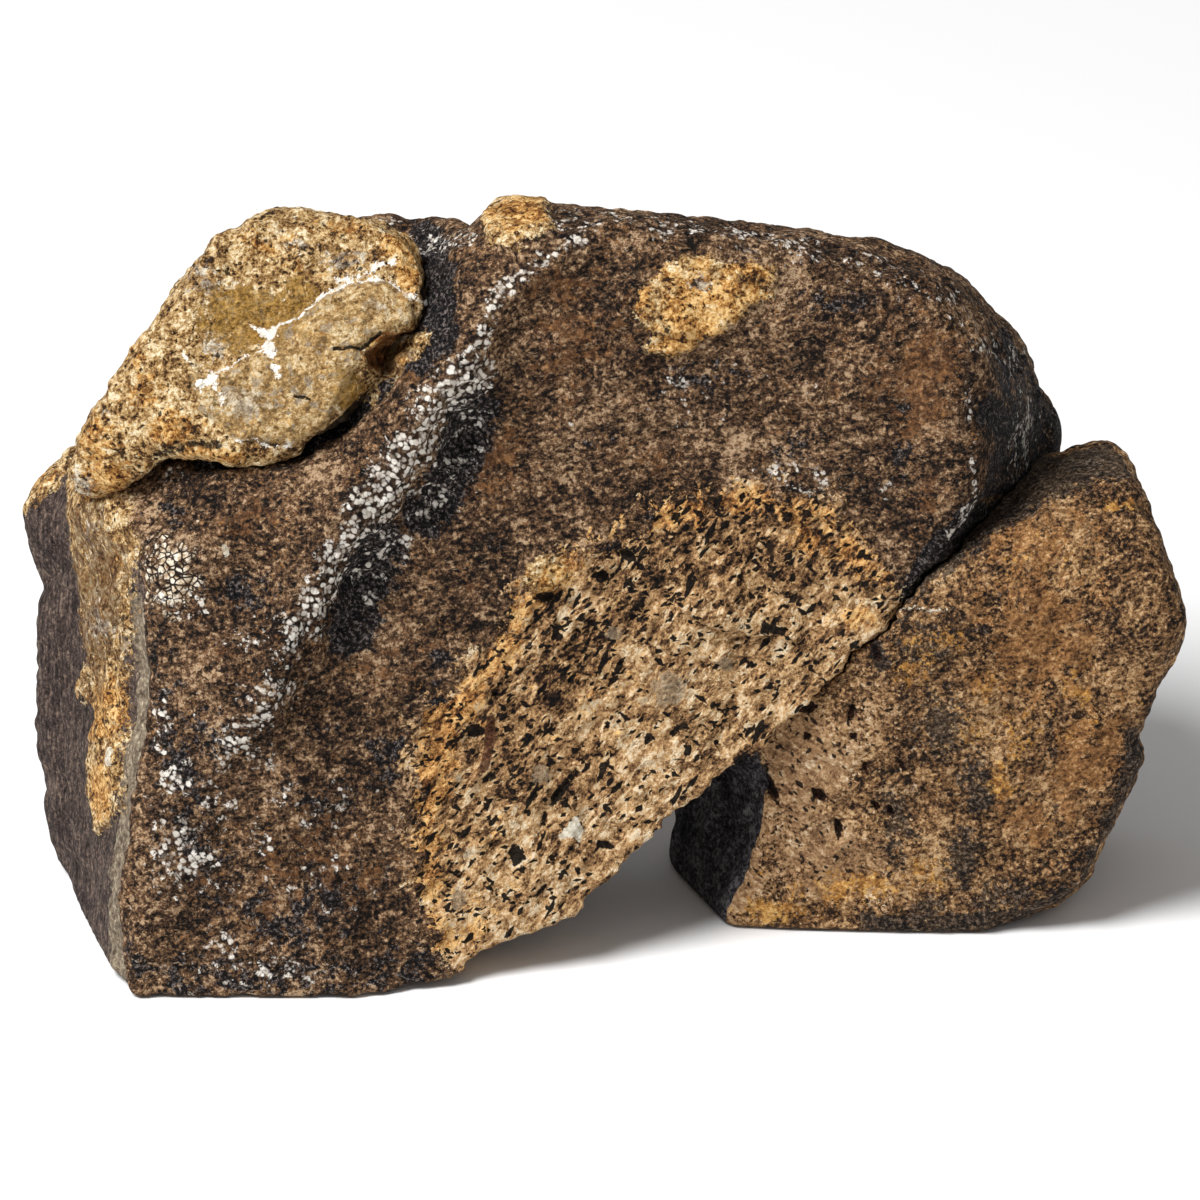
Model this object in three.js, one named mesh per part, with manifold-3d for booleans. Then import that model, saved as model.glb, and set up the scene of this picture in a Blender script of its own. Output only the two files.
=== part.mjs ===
// A fossil ichthyosaur vertebra: the bone centrum, broken through its hollow face into two fragments
// that stand on their broken edges as an arch, and the lump of sandy rock still cemented to the larger one.
//
// The forms are drawn on the plane of the hollow articular face, which leans back from the vertical.
// On that plane u runs to the right and v up the face, and w stands out of it towards the viewer.
// All sizes are in millimetres. The finished group stands on z = 0 with +Z up and the face towards -Y.
import * as THREE from "three";
import Module from "manifold-3d";

const wasm = await Module();
wasm.setup();

const LEAN = THREE.MathUtils.degToRad(25);
const GROUND = -36.6; // height of the table below the drawing plane's middle, measured straight up
const BASE_CENTRE = { x: 0.1, y: 12.15 }; // middle of the footprint, brought to the origin
const CELL = 3; // edge of the lattice cell that the surfaces are taken from
const CRACK_GAP = 1; // free space between the two fragments along the break
const SEAT_GAP = 0.9; // free space between the rock lump and the bone it sits on
const LEAST_GAP = 0.4; // what both are never less than

// The hollow face: a shallow cone on a gently tilted plane.
const FACE = { level: 5, tilt: 0.15, hollow: 6.5, hollowRadius: 42, centre: [9, -14] };
const THICKNESS = 39; // from the front of the face plane to the back one
const BACK_HOLLOW = { depth: 7, radius: 36 };

// Outline of the larger fragment, seen square to the face, from the notch at its top and clockwise.
// Where the break cuts it, the outline runs on past the break.
const LARGE_OUTLINE = [
  [-13, 37.3], [-11.5, 38.8], [-9, 39.5], [-5.5, 39.5], [-3.5, 39.3], [5, 38.7], [14, 37.8], [21.5, 36.8],
  [28.2, 36], [33.1, 34.2], [36.8, 32], [38.8, 29.9], [42, 26.9], [43.9, 24.1], [44.6, 21.8],
  [46.3, 19.7], [46.9, 17], [46.5, 13], [42.5, 6], [30, -12], [16, -30], [-8, -50], [-56.6, -50], [-54.4, -32],
  [-54.5, -28], [-56.1, -25], [-56, -19], [-57, -15], [-57.4, -10], [-57, -3], [-56, 1],
  [-56.4, 2.6], [-58.2, 5], [-58.8, 8], [-58.4, 10.4], [-56.8, 12.9], [-54.4, 15], [-51, 17],
  [-47, 20.4], [-43, 25], [-38.5, 30.6], [-33.5, 35.4], [-30, 37.6], [-25.5, 38.6], [-20, 38.9], [-16, 38.3],
];

// Outline of the smaller fragment, clockwise from the crevice at its top left.
const SMALL_OUTLINE = [
  [40, 15], [46.5, 15], [48.3, 15.6], [51.2, 15.9], [53, 14.7], [54.5, 12.2], [55.8, 8], [57.3, 4.3],
  [58.2, 0.2], [58.7, -2.4], [57.4, -6], [55.6, -10], [54, -13.6], [54.2, -16], [53, -20], [51.2, -24],
  [49.2, -28], [46.2, -30.8], [40.5, -33], [36, -50], [7.4, -50], [7.2, -30.6], [6.4, -27.4], [6.9, -24], [7.6, -20.4],
  [10, -10], [22, 4],
];

// The break across the front of the larger fragment, from the top right down to the table.
const BREAK = [
  [42, 30], [40.3, 27], [39, 22], [38.3, 17], [37.5, 11], [35, 5.5], [30.5, 0], [28, -3], [25.2, -5.7],
  [22.7, -8.7], [19.2, -12], [16.8, -14.6], [13.9, -16.4], [10.5, -18.9], [7.8, -21.2], [5.2, -24.2],
  [2.3, -26.8], [-0.2, -29.2], [-1.8, -31.4], [-8, -33.6], [-11, -34.8], [-13.6, -36.8], [-19, -41], [-22, -50],
];

// The front edge of the smaller fragment's dark broken side, from inside the crack down to the table.
const SMALL_SIDE = [[24, 0], [16.4, -13], [16, -15], [16.9, -19], [16.7, -22], [15.6, -25.5], [14.2, -29], [12.6, -33], [11, -50]];

// Top edge of the smaller fragment's face, from the crack to the right.
const SMALL_TOP = [[20, -9], [30.5, 0.2], [36, 4.6], [40, 8], [45, 11], [50, 12.4], [53.2, 12.6], [60, 10]];

// The worn rim of the hollow face, which stands up as a ridge, from the top down to the left.
const RIDGE = [[12, 44], [-2.5, 36.5], [-10, 30], [-16, 21], [-20, 14], [-27, 4], [-33, -8], [-40, -19], [-45, -30], [-50, -50]];
const TOP_EDGE = [[-30, 34], [-12, 35.5], [-4, 37], [2, 36.8], [12, 36], [25, 33.4], [33, 30.4], [38, 26], [44, 20]];
const RIGHT_EDGE = [[34, 48], [38.6, 28], [39, 22], [38.3, 17], [37.5, 11], [34, 4], [28, -3]];
const CORNER = [
  [-50, 30], [-47.2, 12.3], [-46.9, 8.8], [-45.7, 5.4], [-45.4, -1], [-45, -8], [-45.4, -13.5],
  [-46.2, -18.5], [-47.4, -25], [-47.8, -32], [-47.2, -50],
];
// Brink of the groove in the bone that the rock lump fills, from the top notch down to the left corner.
const GROOVE = [[-11, 46], [-12.4, 36], [-14.5, 31], [-19, 22.5], [-24.5, 17], [-30, 13.6], [-38, 13.8], [-44, 13], [-48, 11], [-62, 13]];

// The rock lump: outline from its top and clockwise, with the tail that runs down to the bone's left corner.
const LUMP_OUTLINE = [
  [-32.4, 39], [-29, 38.8], [-25.3, 38.2], [-21.5, 37.5], [-19.4, 36], [-18.3, 33.6], [-17.2, 31.2], [-16.6, 28.8],
  [-17, 26.3], [-19.2, 22.8], [-22.2, 19], [-25.8, 15.7], [-29.6, 13.4], [-33, 12.9], [-36.3, 13.4], [-40, 14.2],
  [-43, 14.2], [-45.4, 12.6], [-48, 10.6], [-51, 10.4], [-53, 12.5], [-52.5, 15.6], [-51, 18.1], [-49, 20.8],
  [-46.8, 24.3], [-43.7, 28.7], [-40.6, 32.9], [-37.8, 35.9], [-35.2, 38],
];
// Edge of the lump's flat top, beyond which its shaded side drops to the bone.
const LUMP_BRINK = [[-14, 34], [-17.6, 29.8], [-18.6, 26.8], [-22, 24.6], [-24, 20.6], [-27, 17], [-31, 14.8], [-40, 12]];

// Rises from 0 at the first edge to 1 at the second, whichever of them is greater.
function smooth(from, to, x) {
  const t = THREE.MathUtils.clamp((x - from) / (to - from), 0, 1);
  return t * t * (3 - 2 * t);
}

const bump = (u, v, [cu, cv], radius) => Math.exp(-((u - cu) ** 2 + (v - cv) ** 2) / (radius * radius));

// Distance past a fold line, rounded over the fold, so that it grows from 0 with no kink.
function past(distance, rounding) {
  return 0.5 * (distance + Math.sqrt(distance * distance + rounding * rounding));
}

function smoothMax(a, b, rounding) {
  const h = Math.max(rounding - Math.abs(a - b), 0) / rounding;
  return Math.max(a, b) + h * h * rounding * 0.25;
}

// Distance from (u, v) to a line of points, positive to the right of its direction of travel.
function sideOf(line, u, v, closed = false) {
  let best = Infinity;
  let side = 1;
  for (let i = 0; i < line.length - (closed ? 0 : 1); i++) {
    const [ax, ay] = line[i];
    const [bx, by] = line[(i + 1) % line.length];
    const dx = bx - ax;
    const dy = by - ay;
    const t = THREE.MathUtils.clamp(((u - ax) * dx + (v - ay) * dy) / (dx * dx + dy * dy), 0, 1);
    const px = u - ax - t * dx;
    const py = v - ay - t * dy;
    const d = px * px + py * py;
    // At a shared corner the segment that the point lies more squarely beside decides the side.
    const cross = (dy * px - dx * py) / Math.hypot(dx, dy);
    if (d < best - 1e-9 || (d < best + 1e-9 && Math.abs(cross) > Math.abs(side))) {
      best = Math.min(best, d);
      side = cross;
    }
  }
  return Math.sqrt(best) * Math.sign(side || 1);
}

// Distance inside a closed outline drawn clockwise, negative outside.
const inside = (outline, u, v) => sideOf(outline, u, v, true);

// The slow swells of a worn and broken surface.
function swell(u, v, w) {
  return (
    0.45 * Math.sin(0.42 * u + 1.3) * Math.sin(0.5 * v + 0.4 + 0.3 * w) +
    0.3 * Math.sin(0.8 * u - 0.55 * v + 2.1) * Math.sin(0.6 * w + 0.31 * v + 0.3) +
    0.22 * Math.sin(1.15 * v + 0.9 * w + 0.7) * Math.sin(1.05 * u - 0.4 * w + 1.9)
  );
}

// The hollow face without its rim: the tilted plane less the cone.
function facePlane(u, v) {
  const r = Math.hypot(u - FACE.centre[0], v - FACE.centre[1]) / FACE.hollowRadius;
  return FACE.level + FACE.tilt * v - FACE.hollow * Math.max(0, 1 - r * r);
}

// Front surface of the larger fragment.
function largeFront(u, v) {
  const ridge = sideOf(RIDGE, u, v); // positive on the left, outside the hollow
  const ridgeHeight = 2.8 * smooth(-34, -2, v) * (1 - 0.6 * smooth(26, 36, v)) + 0.5;
  let w = facePlane(u, v);
  w += ridge > 0 ? ridgeHeight : ridgeHeight * Math.exp(-((ridge / 2.6) ** 2));
  w -= 0.36 * past(ridge, 1.5);
  // The black pockets under the ridge, and the worn boss on the flank beyond it.
  w -= 1.8 * (bump(u, v, [-13.2, 16.5], 3) + bump(u, v, [-16.8, 10], 3) + bump(u, v, [-22.6, 1.4], 3.2));
  w += 1.2 * bump(u, v, [-42, 3], 4) - 1.1 * bump(u, v, [-36.5, 1.5], 4);
  // The crusts of rock left on the face, and the lip in the middle of the hollow.
  w += 0.8 * bump(u, v, [11, 30], 6) + 0.8 * bump(u, v, [-8, 37.5], 3.5);
  w += 1.1 * bump(u, v, [10.5, -0.8], 4.5);
  // The worn top edge, the broken right side and the left corner.
  const top = sideOf(TOP_EDGE, u, v) * -1;
  w -= 2.5 * past(top, 1.6);
  const right = -sideOf(RIGHT_EDGE, u, v);
  w -= 3.4 * past(right, 0.9) * smooth(-6, 2, v) - 1.5 * past(right - 4, 2) * smooth(-6, 2, v);
  w -= 2.2 * bump(u, v, [38.6, 18.6], 2.4);
  const corner = sideOf(CORNER, u, v);
  w -= (2.6 + smooth(-10, -30, v)) * past(corner, 0.6);
  // The crust of rock down the left side, just behind the corner.
  w += 1.1 * smooth(1.4, 2.6, corner) * smooth(7, 5.6, corner) * smooth(-24, -20, v);
  // The groove under the rock lump falls to the level of the bone's rear rim.
  const groove = sideOf(GROOVE, u, v);
  w -= 2.4 * past(groove, 1.5) + 4 * bump(u, v, [-48, 14.5], 6);
  const rear = -19 + 0.12 * v - 1.3 * past(-sideOf(LARGE_OUTLINE, u, v, true) + 3, 2) - 3.5 * bump(u, v, [-17, 28], 4);
  return smoothMax(w, Math.min(rear, -8), 3);
}

function largeBack(u, v) {
  const r = Math.hypot(u - FACE.centre[0] + 6, v - FACE.centre[1]) / BACK_HOLLOW.radius;
  return FACE.level + FACE.tilt * v - THICKNESS + BACK_HOLLOW.depth * Math.max(0, 1 - r * r);
}

// How far the break has moved sideways at a depth below the face: outwards at the top, undercut below.
const breakShift = (v, depth) => Math.max(0, depth) * (0.3 * smooth(-3, 12, v) - 0.55 * smooth(-3, -14, v));

// The break between the fragments, positive on the side of the larger one.
function breakSide(u, v, w) {
  const brink = THREE.MathUtils.clamp(-4 + 0.29 * (v + 18), -4, 8); // level of the face beside the break
  return sideOf(BREAK, u - breakShift(v, brink - w), v);
}

function smallFront(u, v) {
  let w = -3.6 + 0.49 * (v + 8) * smooth(14, -2, v);
  w -= 3.2 * past(-sideOf(SMALL_TOP, u, v), 1.2);
  w += 1.6 * (1 - ((u - 36) / 24) ** 2);
  return w;
}

const smallBack = (u, v) => -33 + 0.3 * v + 5 * bump(u, v, [18, -14], 20);

function lumpFront(u, v) {
  let w = 8 - 0.6 * Math.max(0, v - 24) + 0.1 * (u + 30) + 0.15 * (v - 16);
  // The scooped upper tier above the white vein, then the tail that bends down to the corner.
  w -= 1.9 * bump(u, v, [-34, 27.5], 5.5) + 1.2 * bump(u, v, [-39, 25], 4);
  w -= 0.4 * past(-(u + 41), 3);
  w -= 2.6 * past(sideOf(LUMP_BRINK, u, v) * -1, 0.8);
  return w;
}

// Table height at (v, w), positive above the table.
const aboveTable = (v, w) => v * Math.cos(LEAN) + w * Math.sin(LEAN) - GROUND;

// Distance to a sheet w = height(u, v), from its slope there, positive in front of it.
function inFrontOf(height, u, v, w) {
  const step = 0.6;
  const here = height(u, v);
  const du = (height(u + step, v) - here) / step;
  const dv = (height(u, v + step) - here) / step;
  return (w - here) / Math.sqrt(1 + du * du + dv * dv);
}

// The outline draws in a little towards the rear of the bone.
const taper = (w) => 0.12 * Math.max(0, -w - 27);

// Each field is negative inside its piece.
function largeField(u, v, w) {
  let f = smoothMax(inFrontOf(largeFront, u, v, w), taper(w) - inside(LARGE_OUTLINE, u, v), 2);
  f = smoothMax(f, -inFrontOf(largeBack, u, v, w), 9);
  f = smoothMax(f, -breakSide(u, v, w), 1);
  f += swell(u, v, w);
  return smoothMax(f, -aboveTable(v, w), 0.8);
}

function smallField(u, v, w) {
  const side = sideOf(SMALL_SIDE, u - breakShift(v, smallFront(u, v) - w), v);
  let f = smoothMax(inFrontOf(smallFront, u, v, w), taper(w) - inside(SMALL_OUTLINE, u, v), 2.4);
  f = smoothMax(f, -inFrontOf(smallBack, u, v, w), 8);
  f = smoothMax(f, side, 1.2);
  f += swell(u + 40, v, w);
  f = Math.max(f, breakSide(u, v, w) + CRACK_GAP + swell(u, v, w));
  return smoothMax(f, -aboveTable(v, w), 0.8);
}

function lumpField(u, v, w) {
  let f = smoothMax(inFrontOf(lumpFront, u, v, w), -inside(LUMP_OUTLINE, u, v), 1.8);
  f = smoothMax(f, -16 - w, 4);
  f += 0.8 * swell(u, v + 30, w);
  return Math.max(f, SEAT_GAP - largeField(u, v, w));
}

const CORNERS = [0, 1, 2, 3, 4, 5, 6, 7].map((a) => [a & 1, (a >> 1) & 1, (a >> 2) & 1]);
const EDGES = CORNERS.flatMap((corner, a) => [0, 1, 2].filter((axis) => !corner[axis]).map((axis) => [a, a + (1 << axis), axis]));
const FACES = [0, 1, 2].flatMap((axis) => [0, 1].map((side) => CORNERS.flatMap((corner, a) => (corner[axis] === side ? [a] : []))));

// The sheets of surface that pass through one cell, each as a list of the cell's edges that it crosses.
function sheetsIn(isIn) {
  const sheet = EDGES.map(([a, b], e) => (isIn[a] === isIn[b] ? -1 : e));
  const join = (e, f) => {
    const [kept, dropped] = [sheet[e], sheet[f]];
    sheet.forEach((s, g) => s === dropped && (sheet[g] = kept));
  };
  for (const face of FACES) {
    const crossed = EDGES.flatMap(([a, b], e) => (sheet[e] >= 0 && face.includes(a) && face.includes(b) ? [e] : []));
    if (crossed.length === 2) join(crossed[0], crossed[1]);
    if (crossed.length < 4) continue;
    // Two opposite corners are in: each is parted from the other by a sheet of its own.
    for (const corner of face.filter((a) => isIn[a])) {
      const [e, f] = crossed.filter((g) => EDGES[g][0] === corner || EDGES[g][1] === corner);
      join(e, f);
    }
  }
  return sheet;
}

// The point of a cell that lies on the planes of the surface at all its crossings, so that edges stay sharp.
function settle(field, crossings, cellLow) {
  const step = 0.25;
  const slopes = crossings.map((p) => {
    const here = field(...p);
    const slope = [0, 1, 2].map((n) => field(...p.map((x, m) => x + (m === n ? step : 0))) - here);
    const length = Math.hypot(...slope) || 1;
    return slope.map((x) => x / length);
  });
  const mean = [0, 1, 2].map((n) => crossings.reduce((sum, p) => sum + p[n], 0) / crossings.length);
  const point = [...mean];
  for (let turn = 0; turn < 20; turn++) {
    const pull = [0, 0, 0];
    crossings.forEach((p, c) => {
      const off = slopes[c].reduce((sum, x, n) => sum + x * (p[n] - point[n]), 0);
      slopes[c].forEach((x, n) => (pull[n] += (x * off) / crossings.length));
    });
    for (let n = 0; n < 3; n++)
      point[n] = THREE.MathUtils.clamp(point[n] + pull[n], cellLow[n] + 0.04 * CELL, cellLow[n] + 0.96 * CELL);
  }
  return point;
}

// The closed surface where a field crosses zero, with one vertex for each sheet in each lattice cell.
function surfaceOf(field, low, high) {
  // All pieces share one lattice, so that faces that lie beside each other stay apart.
  low = low.map((a) => Math.floor(a / CELL) * CELL);
  const count = low.map((a, i) => Math.ceil((high[i] - a) / CELL) + 1);
  const at = (i, j, k) => (k * count[1] + j) * count[0] + i;
  const value = new Float64Array(count[0] * count[1] * count[2]);
  for (let k = 0; k < count[2]; k++)
    for (let j = 0; j < count[1]; j++)
      for (let i = 0; i < count[0]; i++)
        value[at(i, j, k)] = field(low[0] + i * CELL, low[1] + j * CELL, low[2] + k * CELL);

  const vertexOf = new Map();
  const points = [];
  for (let k = 0; k < count[2] - 1; k++)
    for (let j = 0; j < count[1] - 1; j++)
      for (let i = 0; i < count[0] - 1; i++) {
        const here = CORNERS.map(([x, y, z]) => value[at(i + x, j + y, k + z)]);
        const isIn = here.map((f) => f < 0);
        if (isIn.every((x) => x === isIn[0])) continue;
        const sheet = sheetsIn(isIn);
        for (const s of new Set(sheet)) {
          if (s < 0) continue;
          const crossed = EDGES.filter((edge, e) => sheet[e] === s);
          const cellLow = [i, j, k].map((index, n) => low[n] + index * CELL);
          const crossings = crossed.map(([a, b, axis]) =>
            CORNERS[a].map((x, n) => cellLow[n] + (x + (n === axis ? here[a] / (here[a] - here[b]) : 0)) * CELL),
          );
          sheet.forEach((t, e) => t === s && vertexOf.set(at(i, j, k) * 12 + e, points.length));
          points.push(settle(field, crossings, cellLow));
        }
      }

  const triangles = [];
  const gap = (a, b) => Math.hypot(...points[a].map((x, n) => x - points[b][n]));
  for (let k = 1; k < count[2] - 1; k++)
    for (let j = 1; j < count[1] - 1; j++)
      for (let i = 1; i < count[0] - 1; i++)
        for (let axis = 0; axis < 3; axis++) {
          const next = [i, j, k];
          next[axis] += 1;
          const inHere = value[at(i, j, k)] < 0;
          if (inHere === value[at(...next)] < 0) continue;
          const [p, q] = [(axis + 1) % 3, (axis + 2) % 3];
          const ring = [[0, 0], [1, 0], [1, 1], [0, 1]].map(([s, t]) => {
            const cell = [i, j, k];
            cell[p] -= s;
            cell[q] -= t;
            const corner = (s << p) | (t << q);
            return vertexOf.get(at(...cell) * 12 + EDGES.findIndex(([a, , along]) => a === corner && along === axis));
          });
          if (!inHere) ring.reverse();
          const [a, b, c, d] = ring;
          if (gap(a, c) < gap(b, d)) triangles.push(a, b, c, a, c, d);
          else triangles.push(a, b, d, b, c, d);
        }
  return { points, triangles };
}

// From the drawing plane to the standing frame. Nothing reaches below the table.
function stand([u, v, w]) {
  return [
    u - BASE_CENTRE.x,
    v * Math.sin(LEAN) - w * Math.cos(LEAN) - BASE_CENTRE.y,
    Math.max(0, aboveTable(v, w)),
  ];
}

function solid(field, low, high) {
  const { points, triangles } = surfaceOf(field, low, high);
  const mesh = { numProp: 3, vertProperties: new Float32Array(points.flatMap(stand)), triVerts: new Uint32Array(triangles) };
  return new wasm.Manifold(new wasm.Mesh(mesh));
}

// Takes off whatever comes closer to the larger fragment than the least gap.
function clearOfLarge(body) {
  const shifts = [0, 1, 2].flatMap((axis) => [-1, 1].map((way) => [0, 1, 2].map((n) => (n === axis ? way * LEAST_GAP : 0))));
  return shifts.reduce((rest, shift) => rest.subtract(large.translate(shift)), body);
}

function piece(name, body, look) {
  const { vertProperties, triVerts } = body.getMesh();
  const geometry = new THREE.BufferGeometry();
  geometry.setAttribute("position", new THREE.BufferAttribute(new Float32Array(vertProperties), 3));
  geometry.setIndex(Array.from(triVerts));
  geometry.computeVertexNormals();
  const mesh = new THREE.Mesh(geometry, new THREE.MeshStandardMaterial({ ...look, metalness: 0 }));
  mesh.name = name;
  return mesh;
}

const large = solid(largeField, [-62, -46, -42], [50, 46, 22]);
const small = clearOfLarge(solid(smallField, [-4, -42, -42], [64, 22, 22]));
const lump = clearOfLarge(solid(lumpField, [-58, 6, -22], [-10, 46, 18]));

const vertebra = new THREE.Group();
vertebra.add(
  piece("large_bone_fragment", large, { color: 0x5e4733, roughness: 0.75 }),
  piece("small_bone_fragment", small, { color: 0x6b5138, roughness: 0.78 }),
  piece("rock_lump", lump, { color: 0xa98a5a, roughness: 0.9 }),
);
export default vertebra;
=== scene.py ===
import math

import bpy
import numpy as np
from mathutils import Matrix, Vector


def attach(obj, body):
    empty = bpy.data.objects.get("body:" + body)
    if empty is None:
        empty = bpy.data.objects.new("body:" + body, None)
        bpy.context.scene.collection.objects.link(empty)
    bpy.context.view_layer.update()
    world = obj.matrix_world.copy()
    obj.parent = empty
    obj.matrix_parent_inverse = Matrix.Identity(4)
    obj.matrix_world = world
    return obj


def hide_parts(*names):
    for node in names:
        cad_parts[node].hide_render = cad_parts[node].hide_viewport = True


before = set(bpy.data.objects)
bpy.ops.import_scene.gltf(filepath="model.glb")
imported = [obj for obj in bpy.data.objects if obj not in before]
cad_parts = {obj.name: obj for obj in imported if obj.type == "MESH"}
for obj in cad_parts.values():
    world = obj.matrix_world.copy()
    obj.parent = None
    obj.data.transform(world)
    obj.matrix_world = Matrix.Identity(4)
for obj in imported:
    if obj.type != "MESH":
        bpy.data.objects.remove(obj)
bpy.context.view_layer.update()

# Camera. The forms are drawn on the plane of the hollow face, which leans back by 25 degrees. The camera
# looks square at that plane from two metres away, so that a far part is hardly smaller than a near one.
LEAN = math.radians(25)
GROUND = -36.6  # height of the table below the middle of that plane, in millimetres
BASE_CENTRE = (0.1, 12.15)  # the middle of the footprint, in millimetres from the middle of that plane
EYE_DISTANCE = 2  # metres

eye = bpy.data.cameras.new("eye")
eye.sensor_width = 36
eye.lens = 600
eye.clip_end = 20
eye_object = bpy.data.objects.new("eye", eye)
bpy.context.scene.collection.objects.link(eye_object)
looks_from = Vector((0, -math.cos(LEAN), math.sin(LEAN)))
middle = Vector((-BASE_CENTRE[0] / 1000, -BASE_CENTRE[1] / 1000, -GROUND / 1000))
eye_object.location = middle + looks_from * EYE_DISTANCE
eye_object.rotation_euler = (-looks_from).to_track_quat("-Z", "Y").to_euler()
bpy.context.scene.camera = eye_object


# Larger bone fragment. More than half of the spool-shaped centrum: a hollow face with a worn rim that stands
# up as a ridge, a flank beyond it, a left side with a crust of rock, and a broken right side. The bone is
# filled with mineral, dark brown and matt, and its spongy inside shows pale where the skin is worn off.
LARGE_OUTLINE = [
    (-13, 37.3), (-11.5, 38.8), (-9, 39.5), (-5.5, 39.5), (-3.5, 39.3), (5, 38.7), (14, 37.8), (21.5, 36.8),
    (28.2, 36), (33.1, 34.2), (36.8, 32), (38.8, 29.9), (42, 26.9), (43.9, 24.1), (44.6, 21.8),
    (46.3, 19.7), (46.9, 17), (46.5, 13), (42.5, 6), (30, -12), (16, -30), (-8, -50), (-56.6, -50),
    (-54.4, -32), (-54.5, -28), (-56.1, -25), (-56, -19), (-57, -15), (-57.4, -10), (-57, -3), (-56, 1),
    (-56.2, 1.8), (-57.4, 4.2), (-58.1, 7), (-57.9, 9.3), (-56.3, 11.7), (-54.3, 13.8), (-51, 17.2),
    (-47, 20.4), (-43, 25), (-38.5, 30.6), (-33.5, 35.4), (-30, 37.6), (-25.5, 38.6), (-20, 38.9),
    (-16, 38.3),
]
BREAK = [
    (42, 30), (40.3, 27), (39, 22), (38.3, 17), (37.5, 11), (35, 5.5), (30.5, 0), (28, -3), (25.2, -5.7),
    (22.7, -8.7), (19.2, -12), (16.8, -14.6), (13.9, -16.4), (10.5, -18.9), (7.8, -21.2), (5.2, -24.2),
    (2.3, -26.8), (-0.2, -29.2), (-1.8, -31.4), (-8, -33.6), (-11, -34.8), (-13.6, -36.8), (-19, -41),
    (-22, -50),
]
RIDGE = [
    (12, 44), (-2.5, 36.5), (-10, 30), (-16, 21), (-20, 14), (-27, 4), (-33, -8), (-40, -19), (-45, -30),
    (-50, -50),
]
TOP_EDGE = [(-30, 34), (-12, 35.5), (-4, 37), (2, 36.8), (12, 36), (25, 33.4), (33, 30.4), (38, 26), (44, 20)]
RIGHT_EDGE = [(34, 48), (38.6, 28), (39, 22), (38.3, 17), (37.5, 11), (34, 4), (28, -3)]
CORNER = [
    (-50, 30), (-47.2, 12.3), (-46.9, 8.8), (-45.7, 5.4), (-45.4, -1), (-45, -8), (-45.4, -13.5),
    (-46.2, -18.5), (-47.4, -25), (-47.8, -32), (-47.2, -50),
]
GROOVE = [
    (-11, 46), (-12.4, 36), (-14.5, 31), (-19, 22.5), (-24.5, 17), (-30, 13.6), (-38, 13.8), (-44, 13),
    (-48, 11), (-62, 13),
]


def side_of(line, u, v, closed=False):
    """Distance to a line of points, positive on the right of its direction of travel."""
    points = list(line) + ([line[0]] if closed else [])
    best = np.full(np.shape(u), np.inf)
    side = np.ones(np.shape(u))
    for (ax, ay), (bx, by) in zip(points, points[1:]):
        dx, dy = bx - ax, by - ay
        t = np.clip(((u - ax) * dx + (v - ay) * dy) / (dx * dx + dy * dy), 0, 1)
        px = u - ax - t * dx
        py = v - ay - t * dy
        d = px * px + py * py
        cross = (dy * px - dx * py) / math.hypot(dx, dy)
        nearer = (d < best - 1e-9) | ((d < best + 1e-9) & (np.abs(cross) > np.abs(side)))
        best = np.where(nearer, np.minimum(best, d), best)
        side = np.where(nearer, cross, side)
    return np.sqrt(best) * np.where(side < 0, -1.0, 1.0)


def inside(outline, u, v):
    return side_of(outline, u, v, closed=True)


def smooth(start, end, x):
    t = np.clip((x - start) / (end - start), 0, 1)
    return t * t * (3 - 2 * t)


def bump(u, v, centre, radius):
    return np.exp(-((u - centre[0]) ** 2 + (v - centre[1]) ** 2) / radius**2)


def past(distance, rounding):
    return 0.5 * (distance + np.sqrt(distance * distance + rounding * rounding))


def smooth_max(a, b, rounding):
    h = np.maximum(rounding - np.abs(a - b), 0) / rounding
    return np.maximum(a, b) + h * h * rounding * 0.25


def swell(u, v, w):
    return (
        0.45 * np.sin(0.42 * u + 1.3) * np.sin(0.5 * v + 0.4 + 0.3 * w)
        + 0.3 * np.sin(0.8 * u - 0.55 * v + 2.1) * np.sin(0.6 * w + 0.31 * v + 0.3)
        + 0.22 * np.sin(1.15 * v + 0.9 * w + 0.7) * np.sin(1.05 * u - 0.4 * w + 1.9)
    )


def face_plane(u, v):
    r = np.hypot(u - 9, v + 14) / 42
    return 5 + 0.15 * v - 6.5 * np.maximum(0, 1 - r * r)


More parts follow.
